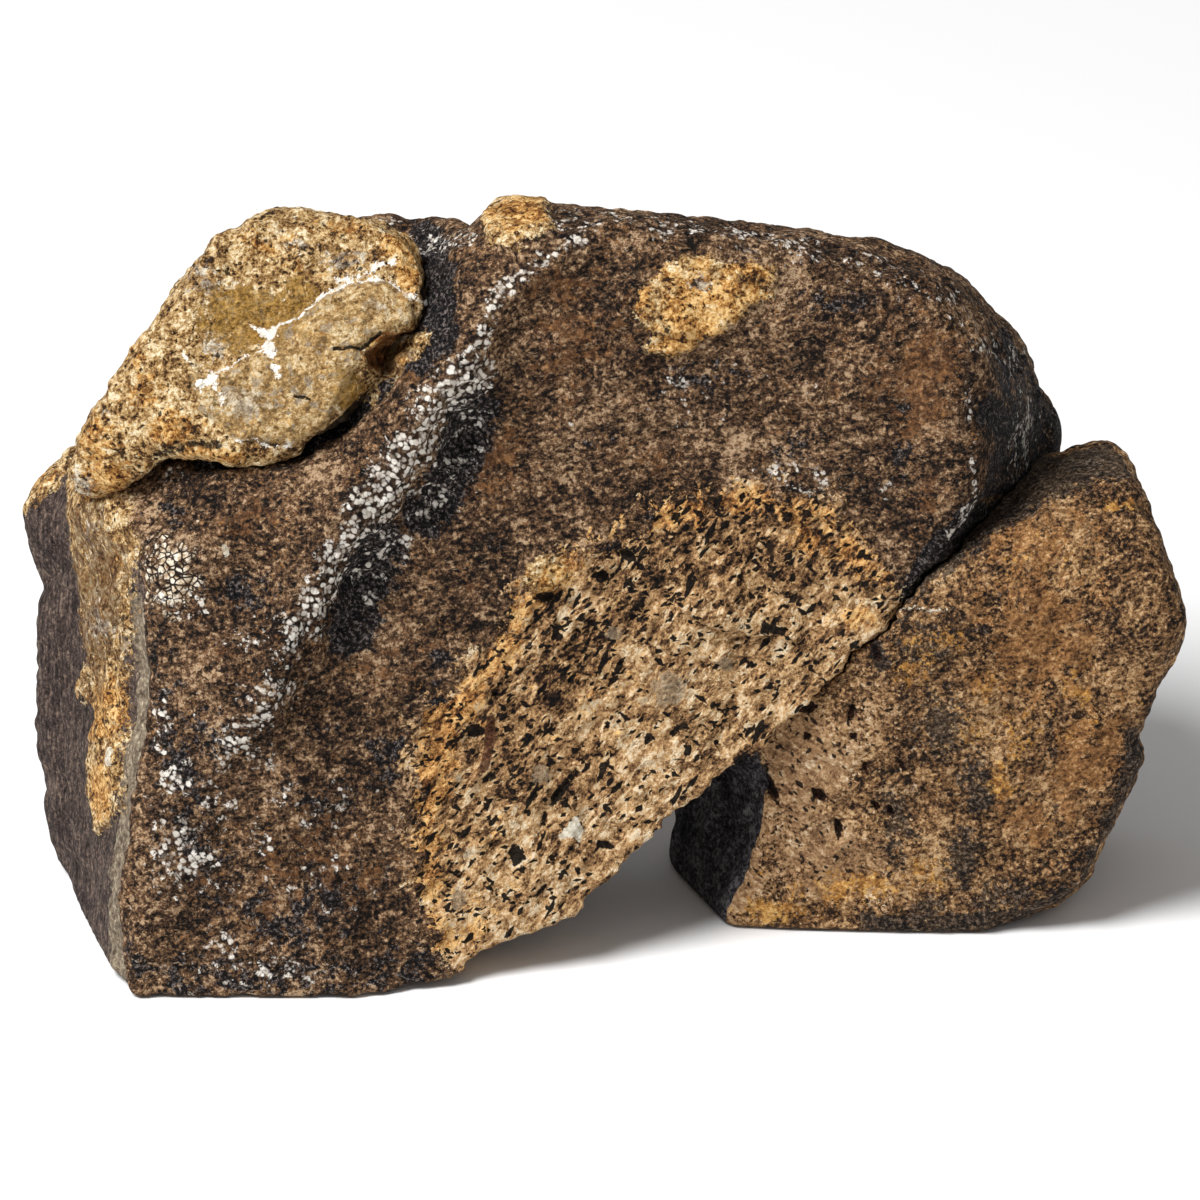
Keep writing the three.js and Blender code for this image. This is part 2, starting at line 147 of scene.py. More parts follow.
def large_front(u, v):
    ridge = side_of(RIDGE, u, v)
    ridge_height = 2.8 * smooth(-34, -2, v) * (1 - 0.6 * smooth(26, 36, v)) + 0.5
    w = face_plane(u, v)
    w = w + np.where(ridge > 0, ridge_height, ridge_height * np.exp(-((ridge / 2.6) ** 2)))
    w = w - 0.36 * past(ridge, 1.5)
    w = w - 1.8 * (bump(u, v, (-13.2, 16.5), 3) + bump(u, v, (-16.8, 10), 3) + bump(u, v, (-22.6, 1.4), 3.2))
    w = w + 1.2 * bump(u, v, (-42, 3), 4) - 1.1 * bump(u, v, (-36.5, 1.5), 4)
    w = w + 0.8 * bump(u, v, (11, 30), 6) + 0.8 * bump(u, v, (-8, 37.5), 3.5)
    w = w + 1.1 * bump(u, v, (10.5, -0.8), 4.5)
    w = w - 2.5 * past(-side_of(TOP_EDGE, u, v), 1.6)
    right = -side_of(RIGHT_EDGE, u, v)
    w = w - (3.4 * past(right, 0.9) + 1.5 * past(right - 4, 2)) * smooth(-6, 2, v)
    w = w - 2.2 * bump(u, v, (38.6, 18.6), 2.4)
    corner = side_of(CORNER, u, v)
    w = w - (2.6 + smooth(-10, -30, v)) * past(corner, 0.6)
    w = w + 1.1 * smooth(1.4, 2.6, corner) * smooth(7, 5.6, corner) * smooth(-24, -20, v)
    w = w - 2.4 * past(side_of(GROOVE, u, v), 1.5) - 4 * bump(u, v, (-48, 14.5), 6)
    rear = -19 + 0.12 * v - 1.3 * past(3 - inside(LARGE_OUTLINE, u, v), 2) - 3.5 * bump(u, v, (-17, 28), 4)
    return smooth_max(w, np.minimum(rear, -8), 3)


def large_back(u, v):
    r = np.hypot(u - 3, v + 14) / 36
    return 5 + 0.15 * v - 39 + 7 * np.maximum(0, 1 - r * r)


def break_shift(v, depth):
    return np.maximum(0, depth) * (0.3 * smooth(-3, 12, v) - 0.55 * smooth(-3, -14, v))


def break_side(u, v, w):
    """The broken surface that both fragments share, positive on the side of the larger one."""
    brink = np.clip(-4 + 0.29 * (v + 18), -4, 8)
    jagged = 0.22 * np.sin(2.3 * v - 0.7 * u) + 0.16 * np.sin(1.7 * u + 3.9 * v + w) + 0.5 * swell(u, v, w)
    return side_of(BREAK, u - break_shift(v, brink - w), v) - jagged


def above_table(v, w):
    return v * math.cos(LEAN) + w * math.sin(LEAN) - GROUND


def chipped_foot(u):
    """How far the lower edge of the larger fragment stands clear of the table at its worn corners."""
    corners = 1.3 * smooth(-46.4, -48.6, u) + 0.9 * smooth(-26, -14, u)
    return corners + 0.25 * np.sin(1.1 * u) * np.sin(0.43 * u + 1)


def sheet(height, u, v):
    """The heights of a sheet, and what turns a height above it into a distance from it."""
    step = 0.6
    here = height(u, v)
    along_u = (height(u + step, v) - here) / step
    along_v = (height(u, v + step) - here) / step
    return here, np.sqrt(1 + along_u**2 + along_v**2)


def lattice(low, high, cell):
    low = np.floor(np.array(low) / cell) * cell
    count = [int(math.ceil((b - a) / cell)) + 1 for a, b in zip(low, high)]
    us, vs, ws = [a + cell * np.arange(n) for a, n in zip(low, count)]
    return low, us, vs, ws


def skin_of(values, low, cell):
    """The surface where the values, held as [w, v, u], cross zero, with one point in each cell on it."""
    nv, nu = values.shape[1:]
    solid = values < 0
    strides = np.array([1, nu, nu * nv])
    cells, points, quads = [], [], []
    for axis in range(3):  # along u, v and w
        near = [slice(None)] * 3
        far = [slice(None)] * 3
        near[2 - axis] = slice(None, -1)
        far[2 - axis] = slice(1, None)
        crossing = solid[tuple(near)] != solid[tuple(far)]
        k, j, i = np.nonzero(crossing)
        inner = (i > 0) & (j > 0) & (k > 0)
        i, j, k = i[inner], j[inner], k[inner]
        spot = np.stack([i, j, k], 1)
        flat = spot @ strides
        a = values.ravel()[flat]
        b = values.ravel()[flat + strides[axis]]
        place = spot.astype(float)
        place[:, axis] += a / (a - b)
        p, q = (axis + 1) % 3, (axis + 2) % 3
        ring = [flat, flat - strides[p], flat - strides[p] - strides[q], flat - strides[q]]
        cells += ring
        points += [place] * 4
        ring = np.stack(ring, 1)
        ring[a >= 0] = ring[a >= 0][:, ::-1]
        quads.append(ring)
    cells = np.concatenate(cells)
    points = np.concatenate(points)
    names, which = np.unique(cells, return_inverse=True)
    number = np.bincount(which)
    mean = np.stack([np.bincount(which, weights=points[:, n]) / number for n in range(3)], 1)
    faces = np.searchsorted(names, np.concatenate(quads))
    return low + mean * cell, faces


def outward(points, faces):
    """The normal at each point."""
    a, b, c, d = [points[faces[:, n]] for n in range(4)]
    normal = np.cross(c - a, d - b)
    total = np.zeros_like(points)
    for n in range(4):
        for axis in range(3):
            total[:, axis] += np.bincount(faces[:, n], weights=normal[:, axis], minlength=len(points))
    return total / np.maximum(np.linalg.norm(total, axis=1, keepdims=True), 1e-12)


dice = np.random.default_rng(7)
SLOPES = dice.normal(size=(256, 3))
SLOPES /= np.linalg.norm(SLOPES, axis=1, keepdims=True)
ORDER = dice.permutation(256)


def grain(points, size, seed=0):
    """Smooth noise between about -1 and 1 with swells of the given size in millimetres."""
    p = points / np.asarray(size, float) + seed * 17.31
    base = np.floor(p).astype(int)
    f = p - base
    ease = f * f * f * (f * (f * 6 - 15) + 10)
    total = np.zeros(len(points))
    for corner in range(8):
        step = np.array([corner & 1, corner >> 1 & 1, corner >> 2 & 1])
        at = base + step
        slope = SLOPES[ORDER[(ORDER[(ORDER[at[:, 0] & 255] + at[:, 1]) & 255] + at[:, 2]) & 255]]
        weight = np.prod(np.where(step == 1, ease, 1 - ease), axis=1)
        total += weight * np.sum(slope * (f - step), axis=1)
    return total * 1.8


def roughness_of(points, sizes, heights, seed):
    return sum(h * grain(points, s, seed + n) for n, (s, h) in enumerate(zip(sizes, heights)))


def stand(points):
    """From the drawing plane to the standing frame, in metres, with nothing below the table."""
    u, v, w = points.T
    x = u - BASE_CENTRE[0]
    y = v * math.sin(LEAN) - w * math.cos(LEAN) - BASE_CENTRE[1]
    z = np.maximum(0, above_table(v, w))
    return np.stack([x, y, z], 1) / 1000


MOST_TRIANGLES = 190000


def make_piece(name, points, faces, marks, finish, node):
    """Makes the object for a piece, with fewer faces on the rear, so that the front can be fine."""
    mesh = bpy.data.meshes.new(name)
    mesh.vertices.add(len(points))
    mesh.vertices.foreach_set("co", stand(points).ravel())
    mesh.loops.add(faces.size)
    mesh.loops.foreach_set("vertex_index", faces.ravel())
    mesh.polygons.add(len(faces))
    mesh.polygons.foreach_set("loop_start", np.arange(0, faces.size, 4))
    mesh.polygons.foreach_set("use_smooth", np.ones(len(faces), bool))
    mesh.update(calc_edges=True)
    for mark, amounts in marks.items():
        mesh.attributes.new(mark, "FLOAT", "POINT").data.foreach_set("value", amounts.astype(np.float32))
    mesh.materials.append(finish)
    piece = bpy.data.objects.new(name, mesh)
    bpy.context.scene.collection.objects.link(piece)
    rear = np.nonzero(outward(points, faces)[:, 2] < -0.1)[0]
    piece.vertex_groups.new(name="rear").add(rear.tolist(), 1.0, "REPLACE")
    thin = piece.modifiers.new("thin_out_rear", "DECIMATE")
    thin.vertex_group = "rear"
    thin.vertex_group_factor = 1000
    thin.ratio = min(1, MOST_TRIANGLES / (2 * len(faces)))
    bpy.context.view_layer.objects.active = piece
    bpy.ops.object.modifier_apply(modifier=thin.name)
    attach(piece, "root")
    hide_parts(node)
    return piece


def fit_between(front, back, outline, u, v, w, edge, rear):
    """The field between a front and a back sheet within an outline, over (u, v) at one depth w."""
    f = smooth_max((w - front[0]) / front[1], 0.12 * max(0, -w - 27) - outline, edge)
    return smooth_max(f, (back[0] - w) / back[1], rear)


cell = 0.44  # spacing of the points that the field is worked out at
low, us, vs, ws = lattice((-62, -46, -42), (50, 44, 18), cell)
u, v = np.meshgrid(us, vs)
front = sheet(large_front, u, v)
back = sheet(large_back, u, v)
outline = inside(LARGE_OUTLINE, u, v)
layers = []
for w in ws:
    f = fit_between(front, back, outline, u, v, w, 2, 9)
    f = smooth_max(f, -break_side(u, v, w), 0.3)
    foot = np.maximum(0, chipped_foot(u)) * smooth(-9, 0, w)
    layers.append(smooth_max(f, foot - above_table(v, w), 0.8))
points, faces = skin_of(np.stack(layers), low, cell)

FILLED_MIDDLE = [
    (-18.8, -14.6), (-18.1, -12), (-16.4, -9.9), (-14.7, -8.6), (-11.7, -5.1), (-10, -3.9), (-9.4, -0.9),
    (-7.5, 2.3), (-3.7, 4.6), (1.1, 6.4), (4.1, 9), (8, 10.9), (12.3, 11.6), (17.4, 11.4), (22.6, 10.6),
    (26.4, 7.7), (28.6, 4.3), (29.7, 0.9), (32, -1), (34, -6), (20, -16), (0, -34), (-11, -38),
    (-15.5, -36.5), (-18.4, -30.4), (-19, -24.9), (-19.2, -18),
]
CRUSTS = [
    [
        (3.3, 28.9), (4.5, 31.3), (6.7, 33.3), (8.6, 34.3), (11, 34), (13, 33), (15, 33.6), (17.2, 33.3),
        (17.6, 32), (16.9, 30.1), (13.5, 28.1), (11.5, 26.4), (9.1, 25), (6.2, 24), (4.7, 25.2),
        (5.2, 26.9),
    ],
    [(-11.6, 38.1), (-9.9, 41), (-5.5, 41), (-4.8, 37.1), (-6.9, 36.1), (-8.9, 34.7), (-11.1, 35.7)],
    [
        (-47, 16), (-47.2, 12), (-46, 5.4), (-46.5, -1.1), (-47.2, -7.7), (-47.3, -15.9), (-47.8, -21.2),
        (-48.6, -21.5), (-50.3, -23.5), (-50.9, -21.5), (-51.6, -18.9), (-51, -15.3), (-50.4, -11.7),
        (-52.7, -9), (-51.6, -6.4), (-52.1, -2.1), (-52.2, 1.2), (-52.7, 6.1), (-53.1, 10.4), (-54.5, 15),
    ],
    [(-7.2, 3.4), (-5.5, 4.6), (-3.4, 3.4), (-3.6, 1.6), (-5.6, 0.8), (-7.4, 1.8)],
    [(-23.6, 25.6), (-19.6, 26.6), (-16.9, 26.6), (-17.4, 25.2), (-19.6, 22.7), (-23, 19.6), (-25, 21)],
    [(-60, 7.5), (-58.5, 12.5), (-56, 15.5), (-53.5, 14.5), (-54.5, 12.3), (-56.3, 10.6), (-57.8, 8.2)],
]
CHIPS = [
    [(-2.3, -21.4), (-1.6, -23.1), (-1.9, -24.6), (-2.7, -23.8), (-4.4, -24), (-3.8, -23.1)],
    [(-37.7, 5.7), (-37, 5.2), (-36.9, 4.3), (-37.6, 4.1)],
    [(-48.3, -14.7), (-47.9, -14.9), (-47.9, -16.6), (-48.4, -16.5)],
]
SHARDS = [
    [(-2.1, -16.7), (-2.4, -17.6), (-4.2, -20.4), (-5.3, -20.8), (-4.6, -19.2), (-3, -17.4)],
    [(-5.1, -20.6), (-5.3, -22), (-5.9, -23.6), (-5.9, -21.8)],
    [(8.6, -12), (8, -13.1), (6.5, -14.4), (7.4, -12.7)], [(1.6, 4.8), (3, 5), (3.8, 4), (2.6, 3.7)],
    [(11.2, 10.8), (12.2, 10.4), (12, 9), (11.3, 8.8)], [(-6.6, 0.6), (-5.2, 1), (-4.2, 0.2), (-5.6, -0.4)],
    [(-13.6, -12.7), (-12, -12.3), (-11.3, -13.5), (-13, -14.1)],
    [(-9.3, -25), (-8, -24.6), (-7.3, -26), (-8.6, -26.8)],
    [(16.2, -1.8), (17.4, -2.5), (19, -2.8), (18.4, -3.5), (16, -3.2)],
    [(-10.8, -8.8), (-10, -9), (-10.2, -10), (-10.9, -9.8)],
    [(-0.6, -24), (1, -24.2), (1.6, -25), (-0.2, -25)], [(-1, 2.4), (0.4, 3), (1.4, 2), (0, 1.6)],
    [(13.2, -15.8), (15, -15.2), (15.2, -15.8), (13.6, -16.6)],
]
WORN_LINES = [  # where the skin is worn to pale spongy bone: the line, its half width and how pale it is
    ([(-2, 36.2), (-3.2, 35.2), (-8.7, 32), (-10.7, 30), (-11.5, 26.5), (-13.5, 23)], 1, 0.8),
    ([(-13, 22.2), (-16, 20), (-18, 15.6), (-21, 12), (-23, 8.6)], 2.6, 1),
    ([(-23.2, 8.7), (-26, 4.2), (-28.6, -0.8)], 1.9, 1),
    ([(-13, 17), (-16.4, 11.4), (-20, 6.6), (-23, 2)], 3, 0.5),
    ([(-28.8, -1.5), (-31.5, -6), (-34.5, -10), (-37, -14)], 2.6, 0.56),
    ([(-10, 38), (0, 37.8), (9, 36.9), (20, 35.2), (28.5, 32.8), (35, 29.4), (39, 24.5)], 1.8, 0.48),
    ([(36.4, 22), (37, 17), (37.4, 10), (34.5, 6)], 0.6, 0.6),
    ([(-13.5, 36.5), (-17, 36), (-22, 36.8)], 2, 0.6),
]
WORN_SPOTS = [  # the spot's middle, its half widths and how pale it is
    (-2.3, 35.7, 1.5, 1.1, 1), (-41.8, -25.6, 4.2, 4.8, 0.76), (-38.6, -35.6, 4.6, 3.8, 0.56),
    (-31.7, -9, 4, 3, 0.6), (-42, 0, 4, 2.6, 0.6), (23, 11.4, 4.4, 2.6, 0.56), (41.4, 24.7, 1.2, 2.4, 0.7),
    (-43, 12, 3, 1.6, 0.56), (-43.8, -12, 1.2, 3.6, 0.9), (-42.6, -17.6, 1.8, 3, 0.6),
    (-39, -19, 6, 9, 0.5), (-30, -24, 10, 12, 0.4), (8, 19, 12, 5, 0.24), (-35, -4, 5, 5, 0.45),
    (-33, -37, 14, 2.4, 0.42), (18, 13, 6, 2, 0.4), (43, 15, 3, 9, 0.5),
]
SHADE_AND_SOOT_LINES = [  # painted shade in the crevices, in the pockets beside the ridge, along the bottom edge and under the ledge, with soot-black stains: the line, its half width and how black it is
    ([(-12.6, 18.4), (-13.8, 14.5), (-15.6, 10.8), (-17.6, 8.6)], 2.5, 1),
    ([(-21.6, 5), (-24, 0.4), (-25, -3.4)], 2.6, 0.9),
    ([(-17.6, 37), (-16, 31.5), (-16, 27), (-18.4, 24)], 1.8, 1),
    ([(-15.6, 26.5), (-20.5, 22.3), (-25.1, 18.3), (-29.4, 15.5), (-40, 13.6)], 0.9, 0.9),
    ([(43, 12), (38, 9), (34, 5.5), (31, 0.5)], 1.4, 1),
    ([(-43.6, -4), (-42.6, -14), (-40.6, -22), (-40, -27)], 3, 0.4),
    ([(-47, -37), (-38, -38), (-28, -37.6), (-16, -36)], 3.2, 0.42),
    ([(9, -1.7), (12, -2.9), (15, -3.2), (18.7, -3.3)], 0.7, 0.6),
    ([(-16, -10.4), (-13.4, -12.4), (-11.6, -13)], 1.2, 0.6),
    ([(-2.4, -5.2), (1, -1.4), (3.6, 2.4)], 1.2, 0.6),
]
# Spots of painted shade, such as the pit in the broken right side and the crevice behind the rock, and
# soot-black stains on the face.
SHADE_AND_SOOT_SPOTS = [
    (39.2, 18.7, 1.6, 2, 1), (2.8, 4.4, 3, 1.6, 0.7), (-5.5, 0.2, 2.4, 1.6, 0.7),
    (-12.4, -13.2, 2.4, 1.6, 0.6), (-17, -28, 1, 2.4, 0.7), (8, 8, 5, 2, 0.5), (18, 2, 5, 3, 0.4),
    (-28.5, 33, 3, 3, 0.6), (0, 16, 4, 2.4, 0.34), (28, 20, 3, 2, 0.34), (-35, 0.5, 6, 2.4, 0.45),
    (-18.5, 33.5, 3.4, 3, 0.7), (-29, -18, 6, 7, 0.32), (-20, -36, 7, 3, 0.4), (10, 22, 8, 2.8, 0.36),
    (23, 30, 8, 2, 0.42), (19, 15, 5, 2, 0.36), (-43, 9, 3, 3, 0.4), (-9.8, 5.6, 2, 1.6, 0.4),
    (-16, -6, 3, 3, 0.4), (-21, -16, 2.6, 5, 0.4), (30, 13, 2, 5, 0.4), (-30, -31, 15, 7, 0.4),
    (-39, -13, 5, 6, 0.42),
]
BROWN_SPOTS = [
    (31.5, 21.8, 6, 9, 0.9), (-3, 27, 8, 9, 0.7), (-10, 14, 4.6, 8, 0.75), (-34, 8, 8, 3, 0.6),
    (-38, -6, 5, 3, 0.5), (-28, -28, 13, 10, 0.6), (-20, -8, 7, 7, 0.5), (20, 18, 8, 5, 0.4),
    (33, 10, 3, 5, 0.7), (-50, 0, 4, 17, 1), (-14, 2, 4, 5, 0.6), (4, 14, 8, 3, 0.5),
    (18, 3.5, 6, 3.6, 0.8), (-20.5, 23.6, 3.4, 3, 1),
]
OCHRE_SPOTS = [
    (14.9, 9.9, 3.6, 1.8, 0.95), (25.6, -1.5, 2.4, 1.3, 0.95), (-7.5, 0.5, 3, 3.4, 0.6), (7, 9, 6, 2, 0.8),
    (-14, -32, 4, 4, 0.6), (-16, -12, 2, 3, 0.8), (-8.4, 25.5, 0.8, 0.6, 1), (-2.6, 24.5, 0.8, 0.6, 1),
    (3.9, 30.5, 2, 2.6, 1), (14.8, 33, 3.4, 1.6, 1), (7, 25.5, 3.4, 1.6, 1), (10.6, 29.4, 8, 6, 0.95),
    (-8, 38.5, 3.6, 3, 0.95), (15.6, 30.4, 2, 2, 0.9), (9.6, 33.4, 3, 0.8, 0.8), (-49, -11, 2.4, 5.4, 1),
    (-47.6, 3, 1, 5, 0.5), (-50, 8, 2, 4, 0.5), (-57, 13, 3, 3, 0.6), (-49.5, -19, 2, 4, 1),
    (-20, 24.4, 2.4, 1.8, 0.8), (-13, -11, 4, 4, 0.6), (22, 6, 6, 3, 0.5), (0, -8, 9, 6, 0.35),
    (-10, -26, 6, 6, 0.3),
]
PALE_SPOTS = [
    (10, 31.4, 2, 1, 0.8), (9, -9, 7, 5.4, 0.4), (3.5, -14, 6, 5, 0.5), (5, -16, 2, 1, 1),
    (-3.5, -22, 3.4, 3, 0.6), (-49.5, -2.4, 2.4, 2.6, 0.8), (-50, 6, 2, 4, 0.5), (-8, -27, 7, 7, 0.8),
    (2, -22, 6, 5, 0.4), (12, -13, 8, 4, 0.2), (-14, -31, 4, 5, 0.7),
]
OCHRE_LINES = [
    ([(-3, 4), (-8, -2), (-12, -8), (-16.4, -16), (-17.6, -26), (-15.6, -34)], 2.2, 0.72),
    ([(-1, 6.6), (7, 9.8), (14, 10.6), (22, 8.4), (28, 2)], 2, 0.66),
]
FLOW_LINES = [
    ([(12, 9), (6, 3), (-1, -3), (-7, -11), (-10, -19)], 3.4, 1),
    ([(-15, -12), (-16, -22), (-14, -30)], 2.4, 0.6), ([(-2, -17), (-5, -22), (-8, -29)], 2.2, 0.6),
    ([(20, 9), (24, 6), (28, 3)], 2.4, 0.8),
]
PEBBLES = [
    (6.9, -9, 1.9, 1.9, 1), (-6, -17.4, 1.1, 1.1, 1), (-14.2, -30, 0.9, 1, 1), (12.6, -6.4, 0.9, 0.8, 1),
    (1.4, -3.4, 0.9, 0.7, 1),
]


def near(lines, u, v):
    """How close each point is to lines that are given with a half width and a strength."""
    total = np.zeros(len(u))
    for line, width, strength in lines:
        total = np.maximum(total, strength * np.exp(-((side_of(line, u, v) / width) ** 2)))
    return total


def dabs(spots, u, v):
    """The strongest of soft spots, each given by its middle, two half widths and a strength."""
    total = np.zeros(len(u))
    for middle_u, middle_v, across, up, strength in spots:
        spot = np.exp(-(((u - middle_u) / across) ** 2) - ((v - middle_v) / up) ** 2)
        total = np.maximum(total, strength * spot)
    return total


def within(patches, u, v, shown):
    """Distance in from the edges of patches, in millimetres, negative outside them and where not shown."""
    distance = np.clip(np.max([inside(patch, u, v) for patch in patches], axis=0), -5, 5)
    return np.where(shown, distance, -5)


u, v, w = points.T
normal = outward(points, faces)
depth = large_front(u, v) - w  # below the front sheet
fore = smooth(3.5, 1.2, depth) * smooth(-0.3, 0.1, normal[:, 2] + 0.25)
filled = within([FILLED_MIDDLE], u, v, depth < 5)
crust = within(CRUSTS, u, v, depth < 6)
chip = within(CHIPS, u, v, depth < 3)
shard = within(SHARDS, u, v, depth < 3)
worn = np.maximum(near(WORN_LINES, u, v), dabs(WORN_SPOTS, u, v)) * fore
comb = dabs([(-42.4, 2.6, 3.6, 4.4, 1)], u, v) * fore
right = -side_of(RIGHT_EDGE, u, v)
black = np.maximum(near(SHADE_AND_SOOT_LINES, u, v), dabs(SHADE_AND_SOOT_SPOTS, u, v))
# Painted shade on the broken right side, which faces away from the lamp.
black = np.maximum(black, 0.52 * smooth(0.2, 1.4, right) * smooth(-6, 2, v) * smooth(34, 29, v)) * fore
corner = side_of(CORNER, u, v)
side = smooth(-0.2, 0.6, corner) * smooth(17, 9, v) * smooth(36, 20, depth)
strip = smooth(0, 0.4, corner) * smooth(1.9, 0.8, corner) * smooth(2, -1, v) * fore

steady = smooth(0.1, 1.5, above_table(v, w)) * smooth(0.2, 2, break_side(u, v, w))
lift = roughness_of(points, [8, 3.6, 1.9], [0.45, 0.34, 0.2], 1)
lift += 0.16 * grain(points, 1.25, 9) * (1 + 2 * worn + 1.6 * (filled > 0) * fore)
lift += 0.6 * smooth(-0.3, 0.5, crust + 0.5 * grain(points, 2.2, 12))
lift += 0.3 * grain(points, 2.1, 14) * (crust > 0)
chips = grain(np.stack([u + v, 2.6 * (v - u), 1.5 * w], 1), 2.4, 20)
lift += smooth(-0.5, 0.5, filled) * fore * (0.5 * np.abs(chips) - 0.25)
ledge = side_of([(8.6, -1.2), (11, -2.6), (14.5, -3.3), (18, -3.6), (21, -4.4)], u, v)
under_ledge = smooth(0.35, -0.25, ledge) * smooth(-5, -0.5, ledge)
lift += 0.9 * under_ledge * smooth(6, 10, u) * smooth(22, 19, u) * fore
lift += 0.3 * smooth(-0.3, 0.3, chip) + 1.5 * bump(u, v, (-49.6, 8.6), 3.6) * smooth(6, 5, depth)
lift -= black * fore * (0.5 + 0.9 * grain(points, 2.2, 30)) * (filled < 0) + 0.4 * smooth(-0.2, 0.3, shard)
points = points + normal * (lift * steady)[:, None]
ochre = np.maximum(dabs(OCHRE_SPOTS, u, v), near(OCHRE_LINES, u, v)) * smooth(6, 5, depth)
rod = near([([(-10.9, -12), (-11, -14.6), (-11.6, -16.8)], 0.55, 1)], u, v) * fore
marks = {
    "filled": filled, "crust": crust, "chip": chip, "shard": shard, "worn": worn, "comb": comb,
    "black": black, "side": side, "strip": strip, "ochre": ochre, "rod": rod,
    "brown": dabs(BROWN_SPOTS, u, v) * fore, "pale": dabs(PALE_SPOTS, u, v) * smooth(6, 5, depth),
    "flow": near(FLOW_LINES, u, v), "pebble": dabs(PEBBLES, u, v) * fore,
}


class Wash:
    """A value or colour that varies over a surface: one output of a node in a material."""

    def __init__(self, socket):
        self.socket = socket

    def node(self, kind, settings, links, out=0):
        tree = self.socket.id_data
        made = tree.nodes.new(kind)
        for key, value in settings.items():
            if key == "stops":
                ramp = made.color_ramp.elements
                while len(ramp) < len(value):
                    ramp.new(0.5)
                for stop, (position, *shade) in zip(ramp, value):
                    stop.position = position
                    stop.color = (*paint(*shade), 1)
            else:
                setattr(made, key, value)
        sockets = {socket.identifier: socket for socket in made.inputs}
        for key, value in links.items():
            if isinstance(value, Wash):
                tree.links.new(value.socket, sockets[key])
            elif sockets[key].type == "RGBA":
                sockets[key].default_value = (*value, 1)
            else:
                sockets[key].default_value = value
        return Wash(made.outputs[out])

    def maths(self, operation, a, b=0.0):
        return self.node("ShaderNodeMath", {"operation": operation}, {"Value": a, "Value_001": b})

    def __add__(self, other):
        return self.maths("ADD", self, other)

    __radd__ = __add__

    def __sub__(self, other):
        return self.maths("SUBTRACT", self, other)

    def __rsub__(self, other):
        return self.maths("SUBTRACT", other, self)

    def __mul__(self, other):
        return self.maths("MULTIPLY", self, other)

    __rmul__ = __mul__

    def most(self, other):
        return self.maths("MAXIMUM", self, other)

    def past(self, limit):
        """1 where this is more than the limit, 0 elsewhere."""
        return self.maths("GREATER_THAN", self, limit)

    def away(self, value):
        """How far this is from the value, up or down."""
        return self.maths("ABSOLUTE", self - value)

    def ramp(self, stops):
        """A colour read off stops of (position, red, green, blue)."""
        return self.node("ShaderNodeValToRGB", {"stops": stops}, {"Fac": self})

    def rise(self, start, end):
        """0 before the start and 1 past the end, with a soft step between."""
        ends = {"Value": self, "From Min": start, "From Max": end}
        return self.node("ShaderNodeMapRange", {"interpolation_type": "SMOOTHSTEP"}, ends)

    def mix(self, under, over):
        """The colour under it where this is 0, and the one over it where it is 1."""
        colours = {"Factor_Float": self, "A_Color": under, "B_Color": over}
        return self.node("ShaderNodeMix", {"data_type": "RGBA"}, colours, out=2)

    def noise(self, size, detail=3.0, roughness=0.55, twist=0.0):
        """Cloudy noise from these coordinates, with clouds of the given size."""
        links = {"Scale": 1 / size, "Detail": detail, "Roughness": roughness, "Distortion": twist}
        return self.node("ShaderNodeTexNoise", {}, {"Vector": self, **links})

    def pebbles(self, size, feature="F1", distance="EUCLIDEAN"):
        """Packed cells of the given size: the distance from each cell's middle, or from its edge."""
        settings = {"feature": feature, "distance": distance}
        return self.node("ShaderNodeTexVoronoi", settings, {"Vector": self, "Scale": 1 / size})

    def chance(self):
        """The random number that belongs to each of these cells."""
        colour = Wash(self.socket.node.outputs["Color"])
        return colour.node("ShaderNodeSeparateColor", {}, {"Color": colour})

    def stretch(self, turn, scale):
        """The coordinates turned and then scaled, to draw out what is made from them."""
        turned = self.node("ShaderNodeMapping", {"vector_type": "POINT"}, {"Vector": self, "Rotation": turn})
        links = {"Vector": turned, "Vector_001": scale}
        return turned.node("ShaderNodeVectorMath", {"operation": "MULTIPLY"}, links)

    def mark(self, name):
        """A mark that was left on the mesh."""
        return self.node("ShaderNodeAttribute", {"attribute_name": name}, {}, out=2)

    def bumps(self, depth):
        """The normal of a surface with this fine relief."""
        return self.node("ShaderNodeBump", {}, {"Height": self, "Distance": depth, "Strength": 1.0})

    def shader(self, roughness, normal):
        """A matt surface of this colour."""
        links = {"Base Color": self, "Roughness": roughness, "Normal": normal, "Specular IOR Level": 0.12}
        return self.node("ShaderNodeBsdfPrincipled", {}, links)

    def lay(self, under, over):
        """The surface under it where this is 0, and the one over it where it is 1."""
        return self.node("ShaderNodeMixShader", {}, {"Fac": self, "Shader": under, "Shader_001": over})


def paint(red, green, blue):
    """A colour as the eye names it, from 0 to 255, turned into light."""
    parts = [part / 255 for part in (red, green, blue)]
    return tuple(p / 12.92 if p <= 0.04 else ((p + 0.055) / 1.055) ** 2.4 for p in parts)


def new_finish(name):
    """A material and the place on the object in millimetres along the leaning face."""
    finish = bpy.data.materials.new(name)
    finish.use_nodes = True
    finish.node_tree.nodes.remove(finish.node_tree.nodes["Principled BSDF"])
    place = Wash(finish.node_tree.nodes.new("ShaderNodeTexCoord").outputs["Object"])
    place = place.node("ShaderNodeVectorMath", {"operation": "SCALE"}, {"Vector": place, "Scale": 1000.0})
    lean = {"Vector": place, "Rotation": (LEAN - math.pi / 2, 0, 0)}
    return finish, place.node("ShaderNodeMapping", {"vector_type": "POINT"}, lean)


def show(finish, surface):
    """Puts the surface on the pieces that have this material."""
    finish.node_tree.links.new(surface.socket, finish.node_tree.nodes["Material Output"].inputs["Surface"])


